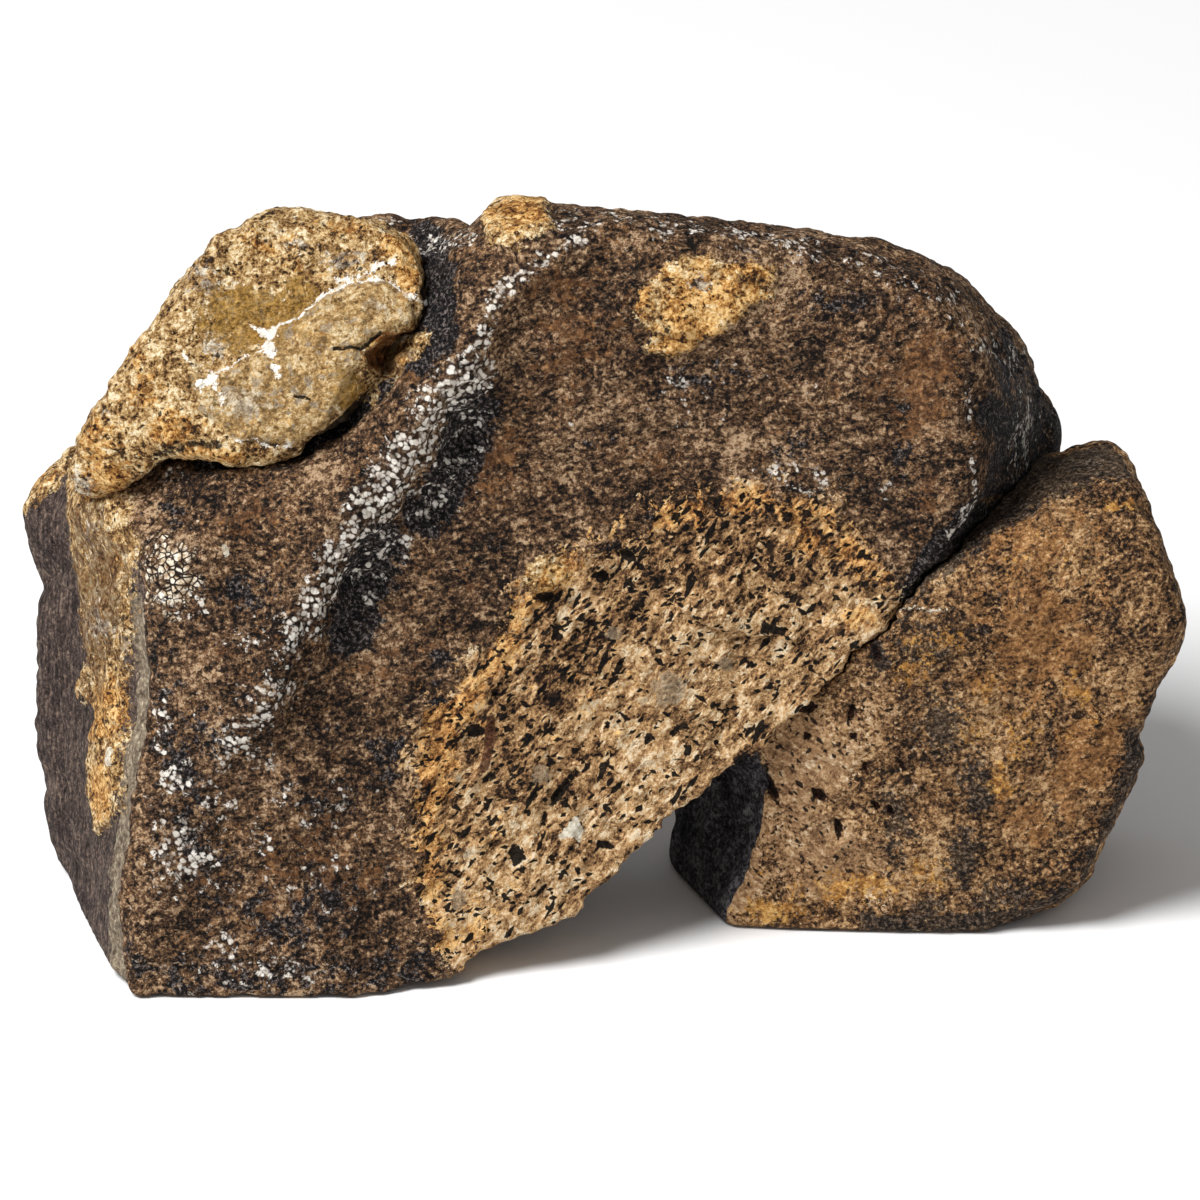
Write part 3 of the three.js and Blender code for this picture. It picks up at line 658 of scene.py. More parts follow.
def aged_bone(place, grains, tones, turn):
    """Mottled mineral-filled bone, with freckles, pale flecks along one turn and small black pits."""
    cloud = place.noise(7, 4, 0.65, 0.8)
    growth = (0, 0, math.radians(-turn))
    blotch = place.stretch(growth, (1 / 1.3, 1 / 0.7, 1 / 0.8)).noise(1.0, 4, 0.75)
    grit = place.noise(0.4, 3, 0.75)
    tone = (cloud * 0.6 + blotch * 0.64 + grit * 0.86 + grains.chance() * 0.18 - 1.14) * 2.8 + 0.48
    colour = tone.ramp([(stop, *shade) for stop, shade in zip((0, 0.28, 0.52, 0.76, 1), tones)])
    freckles = place.noise(0.5, 3, 0.7).rise(0.56, 0.66) * place.noise(3.2, 4, 0.7).rise(0.48, 0.62)
    colour = (freckles * 0.75).mix(colour, paint(152, 108, 66))
    flecks = place.stretch(growth, (1 / 0.9, 1 / 0.4, 1 / 0.4)).noise(1.0, 3, 0.65)
    flecks = flecks.rise(0.59, 0.66) * place.noise(4.5, 3, 0.7).rise(0.4, 0.62)
    colour = (flecks * 0.6).mix(colour, paint(*tones[4]))
    pits = place.noise(1, 4, 0.75).rise(0.37, 0.3)
    colour = (pits * 0.85).mix(colour, paint(*tones[0]))
    return colour


def relief(place):
    """The fine grain of bone or rock as a height."""
    return place.noise(0.45, 3, 0.7) + place.noise(1.7, 2, 0.7) * 0.7


def speckle(place, mark, size):
    """A stain that breaks up into speckles of about this size, densest where its mark is strongest; with a
    black mark it lays painted shade as well.
    """
    broken = place.noise(size, 4, 0.8) * 2.4 + place.noise(size * 4, 2, 0.7, 0.5) * 1.4
    return (mark * 1.1 + broken - 2.5).rise(0.0, 0.16)


def sandy(place, ochre, pale):
    """Sandy rock: tan grit with ochre stains, pale parts and fine black specks."""
    grit = place.noise(0.42, 4, 0.78)
    cloud = place.noise(2.2, 5, 0.72, 0.5)
    sand = place.pebbles(0.42)
    tone = (grit * 0.9 + cloud * 0.95 + sand.chance() * 0.16 - 1.0) * 2.9 + 0.5
    stops = [(0, 46, 31, 18), (0.25, 112, 81, 48), (0.5, 166, 130, 82), (0.75, 202, 172, 122)]
    colour = tone.ramp(stops + [(1, 234, 216, 182)])
    stain = speckle(place, ochre, 0.9)
    stops = [(0, 72, 42, 20), (0.3, 146, 96, 46), (0.6, 196, 144, 76), (0.9, 228, 188, 124)]
    colour = (stain * 0.85).mix(colour, tone.ramp(stops))
    bleached = speckle(place, pale, 0.8)
    stops = [(0, 84, 74, 66), (0.3, 138, 126, 112), (0.6, 184, 174, 156), (0.9, 226, 220, 206)]
    colour = (bleached * 0.8).mix(colour, tone.ramp(stops))
    specks = (grit * 0.6 + sand.chance() * 0.3).rise(0.33, 0.3)
    specks = specks.most(place.noise(1.4, 4, 0.7).rise(0.62, 0.65))
    colour = (specks * 0.9).mix(colour, paint(32, 22, 16))
    return colour


def bent(place, size, amount):
    """The coordinates pushed about by noise of the given size, so that lines drawn in them bend."""
    push = place.node("ShaderNodeTexNoise", {}, {"Vector": place, "Scale": 1 / size, "Detail": 2.0}, out=1)
    push = push.node("ShaderNodeVectorMath", {"operation": "SCALE"}, {"Vector": push, "Scale": amount})
    return push.node("ShaderNodeVectorMath", {"operation": "ADD"}, {"Vector": place, "Vector_001": push})


def drawn_out(place, turn, across, along):
    """Coordinates in which a cell as long and as wide as given measures one."""
    return place.stretch((0, 0, math.radians(-turn)), (1 / along, 1 / across, 1 / across))


def slivers(place, turn, across, along, share):
    """Pointed splinters drawn out along one direction: 1 inside a splinter, on this share of the cells."""
    cells = drawn_out(place, turn, across, along).pebbles(1.0, distance="MANHATTAN")
    return (cells + (share - cells.chance()).rise(0.04, -0.04)).rise(0.52, 0.46)


BONE_GRAIN = 0.0005  # depth of the fine grain in the bone, in metres
BONE_ROUGHNESS = 0.82

dark_bone, place = new_finish("dark_bone")
normal = relief(place).bumps(BONE_GRAIN)
grains = place.pebbles(0.5)
tones = [(13, 10, 9), (42, 31, 24), (83, 61, 44), (119, 90, 64), (176, 148, 117)]
colour = aged_bone(place, grains, tones, 10)

# Brown warmth in broad patches on the face.
warmth = speckle(place, place.mark("brown") * 0.9, 1.3)
stops = [(0.3, 34, 22, 15), (0.45, 88, 58, 36), (0.56, 132, 90, 55), (0.7, 184, 134, 84)]
warm = place.noise(0.6, 4, 0.75) + grains.chance() * 0.08 - 0.04
colour = (warmth * 0.6).mix(colour, warm.ramp(stops))

# Painted shade: black in the pockets beside the ridge, in the crevices, along the bottom edge, under the
# ledge and on the broken right side, with soot-black stains on the face.
soot_and_shade = speckle(place, place.mark("black") * 1.5, 1.2)
soot_and_shade_tones = place.noise(0.4, 3, 0.75).ramp([(0.42, 9, 8, 9), (0.53, 30, 27, 28), (0.63, 110, 102, 99)])
colour = (soot_and_shade * 0.97).mix(colour, soot_and_shade_tones)
bone = colour.shader(BONE_ROUGHNESS, normal)

# Pale spongy bone where the skin is worn off: white grains with black gaps between them.
worn = place.mark("worn")
patchy = (worn * 1.3 + place.noise(1.8, 5, 0.75) * 3.2 + place.noise(6, 3, 0.6) - 2.6).rise(0.0, 0.6)
colour = (patchy * 0.55).mix(colour, paint(27, 21, 20))
cells = drawn_out(bent(place, 1.0, 0.5), -40, 0.6, 0.8).pebbles(1.0)
bright = cells.chance()
spongy = cells.rise(0.6, 0.36) * (bright + patchy * 0.3).rise(0.4, 0.58)
crumbs = grains.rise(0.5, 0.3) * grains.chance().rise(0.5, 0.62)
spongy = spongy.most(crumbs * 0.8) * patchy.rise(0.05, 0.4)
tint = (bright * 0.8 + place.noise(0.5, 3, 0.7) * 0.8 - 0.3).ramp([(0.1, 106, 90, 78), (0.4, 192, 178, 162)])
colour = (spongy * (worn * 0.3 + 0.72)).mix(colour, bright.mix(tint, paint(246, 240, 230)))

# The honeycomb spot: closed pale cells with dark walls.
comb = (place.mark("comb") * 1.3 + place.noise(1.6, 4, 0.75) * 3.2 - 2.2).rise(0.0, 0.5)
honey = (place.pebbles(0.72, "DISTANCE_TO_EDGE") + place.noise(1, 2) * 0.2 - 0.1).rise(0.04, 0.17)
stops = [(0.38, 128, 98, 70), (0.48, 204, 182, 152), (0.58, 246, 236, 218)]
colour = comb.mix(colour, honey.mix(paint(34, 23, 17), place.noise(0.9, 4, 0.7).ramp(stops)))
bone = worn.most(place.mark("comb")).past(0.04).lay(bone, colour.shader(BONE_ROUGHNESS, normal))

# The smooth grey-brown left side, with fibres that run down it.
fibres = place.stretch((0, 0, 0), (1 / 0.3, 1 / 2, 1 / 0.5)).noise(1.0, 4, 0.7)
grey = (fibres * 0.8 + place.noise(0.4, 3, 0.75) * 0.8 + place.noise(4, 4, 0.7) * 0.5 - 1.05) * 2.4 + 0.5
stops = [(0, 24, 19, 18), (0.3, 50, 41, 38), (0.6, 78, 65, 60), (1, 128, 110, 96)]
grey = grey.ramp(stops)
stops = [(0.34, 66, 56, 46), (0.46, 112, 98, 82), (0.56, 144, 130, 110), (0.7, 200, 186, 160)]
strip = (place.mark("strip") * 1.3 + place.noise(1.6, 4, 0.75) * 2 - 1.4).rise(0.0, 0.3)
grey = strip.mix(grey, place.noise(0.7, 4, 0.75).ramp(stops))
side = (place.mark("side") + place.noise(2, 5, 0.8) * 2 - 1).rise(0.36, 0.52)
bone = side.most(strip).lay(bone, grey.shader(BONE_ROUGHNESS, normal))

# The middle of the hollow, filled with tan hash: packed chips of bone, grit and fine black seams.
filled = place.mark("filled")
flow = place.mark("flow")
hash_edge = filled + place.noise(3, 5, 0.8, 0.4) * 16 + place.noise(0.8, 3, 0.7) * 6 - 11.5
hash_edge = hash_edge.rise(-0.4, 0.2)
loose = bent(place, 1.7, 0.4)
chip_tone = drawn_out(loose, 48, 0.55, 1.3).pebbles(1.0).chance()
hash_grit = place.noise(0.4, 4, 0.78)
streaks = loose.stretch((0, 0, math.radians(-50)), (1 / 1.5, 1 / 0.5, 1 / 0.5)).noise(1.0, 4, 0.75)
tone = chip_tone * 0.26 + hash_grit * 0.9 + streaks * 0.7 + place.noise(3, 4, 0.7) * 0.8
tone = (tone + place.mark("pale") * 0.16 - flow * 0.06 - place.mark("brown") * 0.12 - 1.33) * 2.2 + 0.5
stops = [(0, 38, 27, 20), (0.2, 98, 70, 46), (0.45, 160, 122, 82), (0.72, 200, 162, 114)]
tan_hash = tone.ramp(stops + [(1, 226, 205, 172)])
stain = speckle(place, place.mark("ochre") * 1.3 + (chip_tone - 0.6) * 0.5, 1.1)
stops = [(0, 58, 36, 22), (0.25, 138, 90, 46), (0.5, 196, 140, 78), (0.8, 230, 184, 118)]
tan_hash = (stain * 0.85).mix(tan_hash, tone.ramp(stops))
seams = streaks.away(0.47).rise(0.024, 0.008) * place.noise(2.4, 3).rise(0.42, 0.56)
tan_hash = (seams * 0.85).mix(tan_hash, paint(30, 21, 16))

# Dark splinters of bone in it, most along the line where they were swept together.
# The black mark, which holds painted shade as well as soot-black stains, packs the splinters closer.
swarm = place.noise(3.4, 3, 0.7) * 1.3 + flow * 0.3 + place.mark("black") * 0.4
swarm = swarm - place.mark("pale") * 0.08 - 0.43
splinters = slivers(place, 50, 0.9, 2.6, swarm).most(slivers(loose, -34, 0.8, 1.8, swarm * 0.6))
splinters = splinters.most(slivers(loose, 40, 0.55, 1.5, swarm + 0.06))
splinters = splinters.most(slivers(place, 66, 1.1, 5, swarm * 0.5))
splinters = splinters.most(slivers(place, 8, 0.6, 1.3, swarm * 0.8))
splinters = splinters.most((place.mark("shard") + place.noise(0.5, 3, 0.7) * 0.8 - 0.4).rise(-0.04, 0.05))
tan_hash = (splinters * 0.98).mix(tan_hash, hash_grit.ramp([(0.5, 8, 7, 7), (0.75, 50, 36, 28)]))

# Round grey grains and a reddish rod set in it.
pebble = (place.mark("pebble") + place.noise(0.8, 4, 0.75) * 1.6 - 0.8).rise(0.4, 0.5)
tan_hash = (pebble * 0.75).mix(tan_hash, hash_grit.ramp([(0.36, 92, 76, 60), (0.62, 160, 140, 114)]))
rod = (place.mark("rod") + place.noise(0.7, 3) * 0.4 - 0.2).rise(0.4, 0.6)
tan_hash = (rod * 0.9).mix(tan_hash, hash_grit.ramp([(0.4, 46, 28, 20), (0.6, 104, 66, 44)]))
bone = hash_edge.lay(bone, tan_hash.shader(BONE_ROUGHNESS, normal))

# Thin tan and ochre crusts of rock, and white chips.
crust = (place.mark("crust") + place.noise(1.4, 5, 0.8) * 4.6 - 2.3).rise(-0.15, 0.1)
rock = sandy(place, place.mark("ochre"), place.mark("pale"))
brown = speckle(place, place.mark("brown") * 0.9, 1.1)
rock = (brown * 0.66).mix(rock, hash_grit.ramp([(0.4, 38, 25, 17), (0.62, 112, 76, 46)]))
bone = crust.lay(bone, rock.shader(BONE_ROUGHNESS, normal))
chip = (place.mark("chip") + place.noise(0.6, 3, 0.7) * 0.8 - 0.4).rise(-0.05, 0.1)
white = place.noise(0.7, 3).ramp([(0.35, 180, 168, 146), (0.6, 232, 224, 206)])
show(dark_bone, chip.lay(bone, white.shader(BONE_ROUGHNESS, normal)))

make_piece("larger_fragment", points, faces, marks, dark_bone, "large_bone_fragment")


# Smaller bone fragment. The lower right part of the same centrum, parted from the larger one by a crack
# through the face. It stands on its own broken edge, with its broken side towards the notch painted
# near-black as shade.
SMALL_OUTLINE = [
    (40, 15), (46.5, 15), (48.3, 15.6), (51.2, 15.9), (53, 14.7), (54.1, 12.2), (55.1, 8), (56.7, 4.3),
    (58.2, 0.2), (58.7, -2.4), (57.4, -6), (55.6, -10), (54, -13.6), (54.2, -16), (53, -20), (51.2, -24),
    (49.2, -28), (46.2, -30.8), (40.5, -33), (36, -50), (7.4, -50), (7.2, -30.6), (6.4, -27.4), (6.9, -24),
    (7.6, -20.4), (10, -10), (22, 4),
]
SMALL_SIDE = [
    (24, 0), (16.4, -13), (16, -15), (16.9, -19), (16.7, -22), (15.6, -25.5), (14.2, -29), (12.6, -33),
    (11, -50),
]
SMALL_TOP = [(20, -9), (30.5, 0.2), (36, 4.6), (40, 8), (45, 11), (50, 12.4), (53.2, 12.6), (60, 10)]
CRACK = 0.2  # width of the crack between the fragments


def small_front(u, v):
    w = -3.6 + 0.49 * (v + 8) * smooth(14, -2, v)
    w = w - 3.2 * past(-side_of(SMALL_TOP, u, v), 1.2)
    return w + 1.6 * (1 - ((u - 36) / 24) ** 2)


def small_back(u, v):
    return -33 + 0.3 * v + 5 * bump(u, v, (18, -14), 20)


cell = 0.33
low, us, vs, ws = lattice((0, -42, -40), (62, 20, 8), cell)
u, v = np.meshgrid(us, vs)
front = sheet(small_front, u, v)
back = sheet(small_back, u, v)
outline = inside(SMALL_OUTLINE, u, v)
layers = []
for w in ws:
    f = fit_between(front, back, outline, u, v, w, 2.4, 8)
    f = smooth_max(f, side_of(SMALL_SIDE, u - break_shift(v, front[0] - w), v), 1.2)
    f = smooth_max(f, break_side(u, v, w) + CRACK, 0.3)
    layers.append(smooth_max(f, -above_table(v, w), 0.8))
points, faces = skin_of(np.stack(layers), low, cell)

TAN_SPOTS = [
    (20, -17, 6, 8, 0.95), (22, -26, 8, 6, 0.8), (27, -11, 3.5, 7, 0.7), (14, -28, 4, 5, 0.9),
    (29, -21, 4, 6, 0.5),
]
# Partly painted shade, along the top edge by the crevice between the pieces and along the bottom and right
# edges, and partly soot-black stains on the face.
SMALL_SHADE_AND_SOOT_LINES = [
    ([(28, 0.6), (34, 5.6), (40, 10), (46, 14), (52, 14.6)], 3.3, 1),
    ([(54, -14), (53.2, -19), (51, -25), (48, -29)], 1.8, 0.8),
    ([(27, -32.5), (36, -32.6), (43, -31.6), (48, -29)], 1.3, 0.85),
    ([(57.8, 3), (58.6, -2.6), (56.5, -8)], 1, 0.5), ([(45, -9), (45.4, -16), (46, -24)], 0.8, 0.4),
    ([(27, -3.6), (28.4, -6.4)], 0.9, 0.9), ([(29, -2), (33, -3.4), (38, -3)], 1.2, 0.5),
]
# Spots of painted shade along the top and bottom edges, and soot-black stains on the face.
SMALL_SHADE_AND_SOOT_SPOTS = [
    (34, -12.5, 3.4, 4.8, 0.74), (30, -23, 2.8, 6, 0.6), (36.4, -26, 3, 4.6, 0.7), (33, -5, 3.8, 2.8, 0.6),
    (44, 13, 8, 2.4, 0.7), (41, -30, 7, 2.2, 0.6), (38, -18, 3, 5, 0.66), (40, 2, 5, 3, 0.36),
    (48, 5, 4, 3, 0.3), (46, -26, 4, 3, 0.4), (33, -31, 3, 1.6, 0.6), (16.6, -17.6, 1, 2, 0.7),
    (44, -7, 3, 2, 0.3), (52, -1, 3, 5, 0.3),
]
SMALL_PITS = [
    [(21.1, -18.8), (22.2, -19.1), (23, -19.9), (22.4, -20.4), (21.4, -19.9)],
    [(27.1, -20.1), (27.9, -20.3), (28.2, -21.2), (27.4, -21)],
    [(28.6, -20.5), (29.3, -20.9), (29.6, -21.9), (29, -21.7)],
    [(23.5, -22), (24.2, -22.4), (24.4, -23.4), (23.9, -24.3), (23.5, -23.2)],
    [(25, -10.2), (25.6, -10.6), (25.4, -12), (24.8, -12.3), (24.8, -11.2)],
    [(25.2, -12.9), (25.8, -13.2), (25.7, -14.1), (25.2, -13.8)],
    [(20.3, -13.2), (21.2, -13.4), (21.1, -14.2), (20.4, -14)],
    [(14.8, -15.6), (16.2, -16.6), (17.5, -18.2), (18.2, -20.6), (17, -19.6), (15.8, -18)],
    [(18.6, -10), (20.6, -9.7), (22, -10.6), (20.8, -11.5), (19.2, -11.2)],
    [(27, -4.2), (27.8, -4.6), (28.3, -6.3), (27.4, -5.9)],
    [(29.8, -16.1), (30.5, -16.4), (31, -17.4), (30.3, -17.2)],
    [(26.2, -16), (26.8, -16.4), (27, -17.6), (26.4, -17.2)],
]
SMALL_OCHRE_SPOTS = [
    (40.1, -18.2, 1.5, 2.4, 0.95), (35.1, -3.8, 1.8, 1.4, 0.8), (38.8, -9.4, 1.6, 2.2, 0.7),
    (26, -29, 9, 2.2, 0.66), (51.4, 9.4, 1, 0.9, 0.8), (53, 9.5, 1, 0.9, 0.8), (31, -7, 3, 3, 0.55),
    (33, -27, 3, 3, 0.5), (37, -13, 3, 3, 0.45), (17.7, -31.2, 5, 1.6, 0.75), (47, -10, 6, 6, 0.4),
    (44, 4, 6, 4, 0.36), (41, -14, 6, 8, 0.42), (32, -5, 5, 3, 0.5),
]
RUST_SPOTS = [
    (44, -4, 9, 10, 0.85), (48.6, -17, 6, 7, 0.95), (44, 6, 8, 5, 0.7), (38, -1, 4, 3, 0.5),
    (43, -22, 5, 6, 0.6),
]
SMALL_WORN_SPOTS = [
    (49, 13.6, 4, 1.6, 0.6), (35.7, 4.5, 1.6, 0.9, 0.8), (42, 10, 3, 1.6, 0.4), (31, -14, 4, 8, 0.36),
]
WHITE_THREAD = [(30.1, -1), (31.5, -0.6), (33, -1.2), (34.2, -1), (35.4, -0.8)]

u, v, w = points.T
normal = outward(points, faces)
depth = small_front(u, v) - w
fore = smooth(3.5, 1.2, depth) * smooth(-0.25, 0.15, normal[:, 2])
notch = smooth(0.8, 0.2, -side_of(SMALL_SIDE, u - break_shift(v, depth), v)) * smooth(0.4, 1, depth)
black = np.maximum(near(SMALL_SHADE_AND_SOOT_LINES, u, v), dabs(SMALL_SHADE_AND_SOOT_SPOTS, u, v)) * fore
pits = within(SMALL_PITS, u, v, depth < 3)
steady = smooth(0.1, 1.5, above_table(v, w)) * smooth(0.2, 1.6, -CRACK - break_side(u, v, w))
lift = roughness_of(points, [8, 3.4, 1.8], [0.4, 0.34, 0.2], 40)
lift += 0.17 * grain(points, 1.15, 49) - 0.8 * smooth(-0.2, 0.4, pits)
lift += 0.2 * dabs(TAN_SPOTS, u, v) * fore * np.abs(grain(points, 1.6, 50))
points = points + normal * (lift * steady)[:, None]
marks = {
    "tan": dabs(TAN_SPOTS, u, v) * smooth(6, 4, depth), "black": black, "notch": notch, "pits": pits,
    "ochre": dabs(SMALL_OCHRE_SPOTS, u, v) * fore, "rust": dabs(RUST_SPOTS, u, v) * fore,
    "worn": dabs(SMALL_WORN_SPOTS, u, v) * fore,
    "thread": np.where(depth < 2, np.minimum(np.abs(side_of(WHITE_THREAD, u, v)), 2), 2),
}

brown_bone, place = new_finish("brown_bone")
normal = relief(place).bumps(BONE_GRAIN)
grains = place.pebbles(0.45)
tones = [(22, 16, 12), (68, 48, 33), (120, 88, 58), (158, 121, 81), (200, 166, 124)]
colour = aged_bone(place, grains, tones, 25)

# Rusty brown towards the right, with flecks drawn out along the growth of the bone.
growth = place.stretch((0, 0, math.radians(-25)), (1 / 0.9, 1 / 0.45, 1 / 0.5)).noise(1.0, 4, 0.75)
rust = speckle(place, place.mark("rust"), 1.6)
hash_grit = place.noise(0.4, 4, 0.78)
tone = growth * 0.7 + hash_grit * 0.6 + grains.chance() * 0.14 + place.noise(2.6, 4, 0.7) * 0.6
tone = (tone - 1.02) * 2.5 + 0.5
stops = [(0, 44, 28, 18), (0.28, 98, 66, 40), (0.52, 141, 98, 58), (0.78, 172, 125, 77)]
colour = (rust * 0.85).mix(colour, tone.ramp(stops + [(1, 206, 170, 126)]))

# The tan hash of the hollow's middle runs on across the crack.
loose = bent(place, 1.1, 0.5)
chip_tone = drawn_out(loose, -40, 0.5, 1.1).pebbles(1.0).chance()
tone = chip_tone * 0.22 + hash_grit * 0.9 + place.noise(3.4, 4, 0.7) * 0.7 + growth * 0.35 - 1.1
tone = tone * 1.8 + 0.5
stops = [(0, 46, 32, 23), (0.22, 108, 78, 54), (0.48, 160, 124, 88), (0.74, 194, 160, 120)]
tan = speckle(place, place.mark("tan") * 1.2, 1.6)
colour = (tan * 0.9).mix(colour, tone.ramp(stops + [(1, 230, 212, 184)]))
swarm = tan * 0.2
splinters = slivers(place, 50, 0.6, 1.8, swarm).most(slivers(place, -48, 0.7, 2, swarm))
splinters = splinters.most(slivers(loose, -62, 0.45, 1.2, swarm + 0.03))
colour = (splinters * 0.95).mix(colour, paint(20, 14, 12))

ochre = speckle(place, place.mark("ochre") * 1.1, 0.7)
stops = [(0, 84, 54, 26), (0.3, 150, 102, 50), (0.6, 198, 146, 74), (0.9, 230, 190, 122)]
colour = (ochre * 0.85).mix(colour, tone.ramp(stops))

# Worn pale flecks, black painted shade along the edges with soot-black stains on the face, pits and a white
# thread of mineral.
patchy = (place.mark("worn") * 1.2 + place.noise(1.6, 4, 0.75) * 2.2 - 1.6).rise(0.0, 0.5)
crumbs = (place.noise(0.4, 3, 0.7) + patchy * 0.12).rise(0.62, 0.7) * (patchy * 0.7 + 0.3)
colour = crumbs.mix(colour, paint(210, 194, 170))
soot_and_shade = speckle(place, place.mark("black") * 1.25, 0.6)
soot_and_shade_tones = place.noise(0.4, 3, 0.75).ramp([(0.4, 15, 13, 12), (0.52, 46, 40, 36), (0.64, 112, 98, 86)])
colour = (soot_and_shade * 0.86).mix(colour, soot_and_shade_tones)
pits = (place.mark("pits") + place.noise(0.5, 3, 0.7) * 0.8 - 0.4).rise(-0.05, 0.05)
colour = (pits * 0.97).mix(colour, hash_grit.ramp([(0.5, 9, 7, 7), (0.66, 74, 38, 24)]))
thread = (place.mark("thread") + place.noise(0.6, 4, 0.8) * 1.4).rise(0.86, 0.74)
colour = thread.mix(colour, paint(216, 204, 182))
bone = colour.shader(BONE_ROUGHNESS, normal)

# The broken side towards the notch, painted near-black as the shade it lies in behind the larger fragment.
soot_and_shade_tones = (place.noise(0.5, 4, 0.75) * 0.8 + place.noise(3, 4, 0.7) * 0.5).ramp(
    [(0.5, 14, 13, 15), (0.63, 38, 36, 40), (0.76, 104, 100, 102)]
)
notch = (place.mark("notch") + place.noise(1.2, 4, 0.75) * 0.8 - 0.4).rise(0.35, 0.6)
show(brown_bone, notch.lay(bone, soot_and_shade_tones.shader(BONE_ROUGHNESS, normal)))
make_piece("smaller_fragment", points, faces, marks, brown_bone, "small_bone_fragment")


# Rock lump. Sandy rock that filled a groove in the bone and is still cemented there, tan with ochre stains,
# crossed by white veins of calcite. Its tail runs down over the bone's left corner.
LUMP_OUTLINE = [
    (-32.4, 39), (-29, 38.8), (-25.3, 38.2), (-21.5, 37.5), (-19.4, 36), (-18.3, 33.6), (-17.2, 31.2),
    (-16.6, 28.8), (-17, 26.3), (-19.2, 22.8), (-22.2, 19), (-25.8, 15.7), (-29.6, 13.4), (-33, 12.9),
    (-36.3, 13.4), (-40, 14.2), (-43, 14.2), (-45.4, 12.6), (-48, 10.6), (-51, 10.4), (-53, 12.5),
    (-52.4, 15.6), (-51, 18.2), (-49.1, 20.9), (-46.6, 24.7), (-43.6, 29.3), (-40.8, 33.5), (-37.7, 36.4),
    (-35, 38.1),
]
LUMP_BRINK = [
    (-14, 34), (-17.6, 29.8), (-18.6, 26.8), (-22, 24.6), (-24, 20.6), (-27, 17), (-31, 14.8), (-40, 12),
]
SEAT = 0.12  # the lump sinks this far short of the bone


def lump_front(u, v):
    w = 8 - 0.6 * np.maximum(0, v - 24) + 0.1 * (u + 30) + 0.15 * (v - 16)
    w = w - 0.55 * past(15 - v, 1) * smooth(-42, -47, u)
    w = w - 1.9 * bump(u, v, (-34, 27.5), 5.5) - 1.2 * bump(u, v, (-39, 25), 4)
    w = w - 0.4 * past(-(u + 41), 3)
    return w - 2.6 * past(-side_of(LUMP_BRINK, u, v), 0.8)


cell = 0.24
low, us, vs, ws = lattice((-57, 8, -20), (-14, 43, 12), cell)
u, v = np.meshgrid(us, vs)
front = sheet(lump_front, u, v)
outline = inside(LUMP_OUTLINE, u, v)
bone_front = sheet(large_front, u, v)
bone_back = sheet(large_back, u, v)
bone_outline = inside(LARGE_OUTLINE, u, v)
layers = []
for w in ws:
    f = smooth_max((w - front[0]) / front[1], -outline, 1.8)
    f = smooth_max(f, -16 - w, 4)
    bone = fit_between(bone_front, bone_back, bone_outline, u, v, w, 2, 9)
    layers.append(np.maximum(f, SEAT - bone))
points, faces = skin_of(np.stack(layers), low, cell)

FACET = [  # the raised smoother facet below the veins
    (-41, 22.6), (-38.5, 22.6), (-36.6, 23.1), (-33.5, 24.9), (-31.7, 27.5), (-28.4, 29.5), (-25, 31.5),
    (-21.5, 31.6), (-18.8, 30), (-18.4, 27.4), (-22, 26.5), (-24, 24.8), (-24, 23.5), (-27.2, 17.6),
    (-30.5, 15.5), (-36, 16), (-40, 19),
]
CAVITY = [(-23.6, 24.6), (-21.5, 26.4), (-17.4, 26.9), (-18.5, 24.2), (-21.5, 22.4), (-23, 23)]
VEINS = [
    [(-41.4, 24.6), (-41.1, 23.9), (-40, 23.1), (-38.3, 22.6), (-36.6, 23.1), (-35.3, 24.4), (-33.5, 24.9),
     (-31.7, 27.5), (-29.7, 28), (-28.4, 29.5), (-27.1, 30.8), (-25.1, 31.5), (-22.5, 32), (-21.5, 31.6)],
    [(-33, 24.5), (-32.4, 23.4), (-32, 22.3)],
    [(-26.5, 32.1), (-24.5, 32.1), (-22.5, 33), (-20.7, 33.4)],
    [(-20.7, 31.4), (-19.4, 30.4), (-18.4, 30.2), (-17.1, 29.5)],
    [(-38.4, 21), (-37.6, 20.2), (-37.5, 19.3)],
    [(-36.1, 15.9), (-34.3, 16.2), (-33, 15.4), (-31.7, 15.2), (-30.7, 15.7)],
]
WHITES = [
    [(-40.4, 21.4), (-39, 22.4), (-37.9, 22.3), (-38.2, 21.2), (-39.2, 21.4), (-39.8, 20.6)],
    [(-35, 27.5), (-33.5, 27), (-32, 27.2), (-31.9, 26), (-33, 25.8), (-34, 26.6)],
    [(-33.7, 25.3), (-32.4, 25.3), (-32.2, 24.2), (-33.3, 23.9)],
]
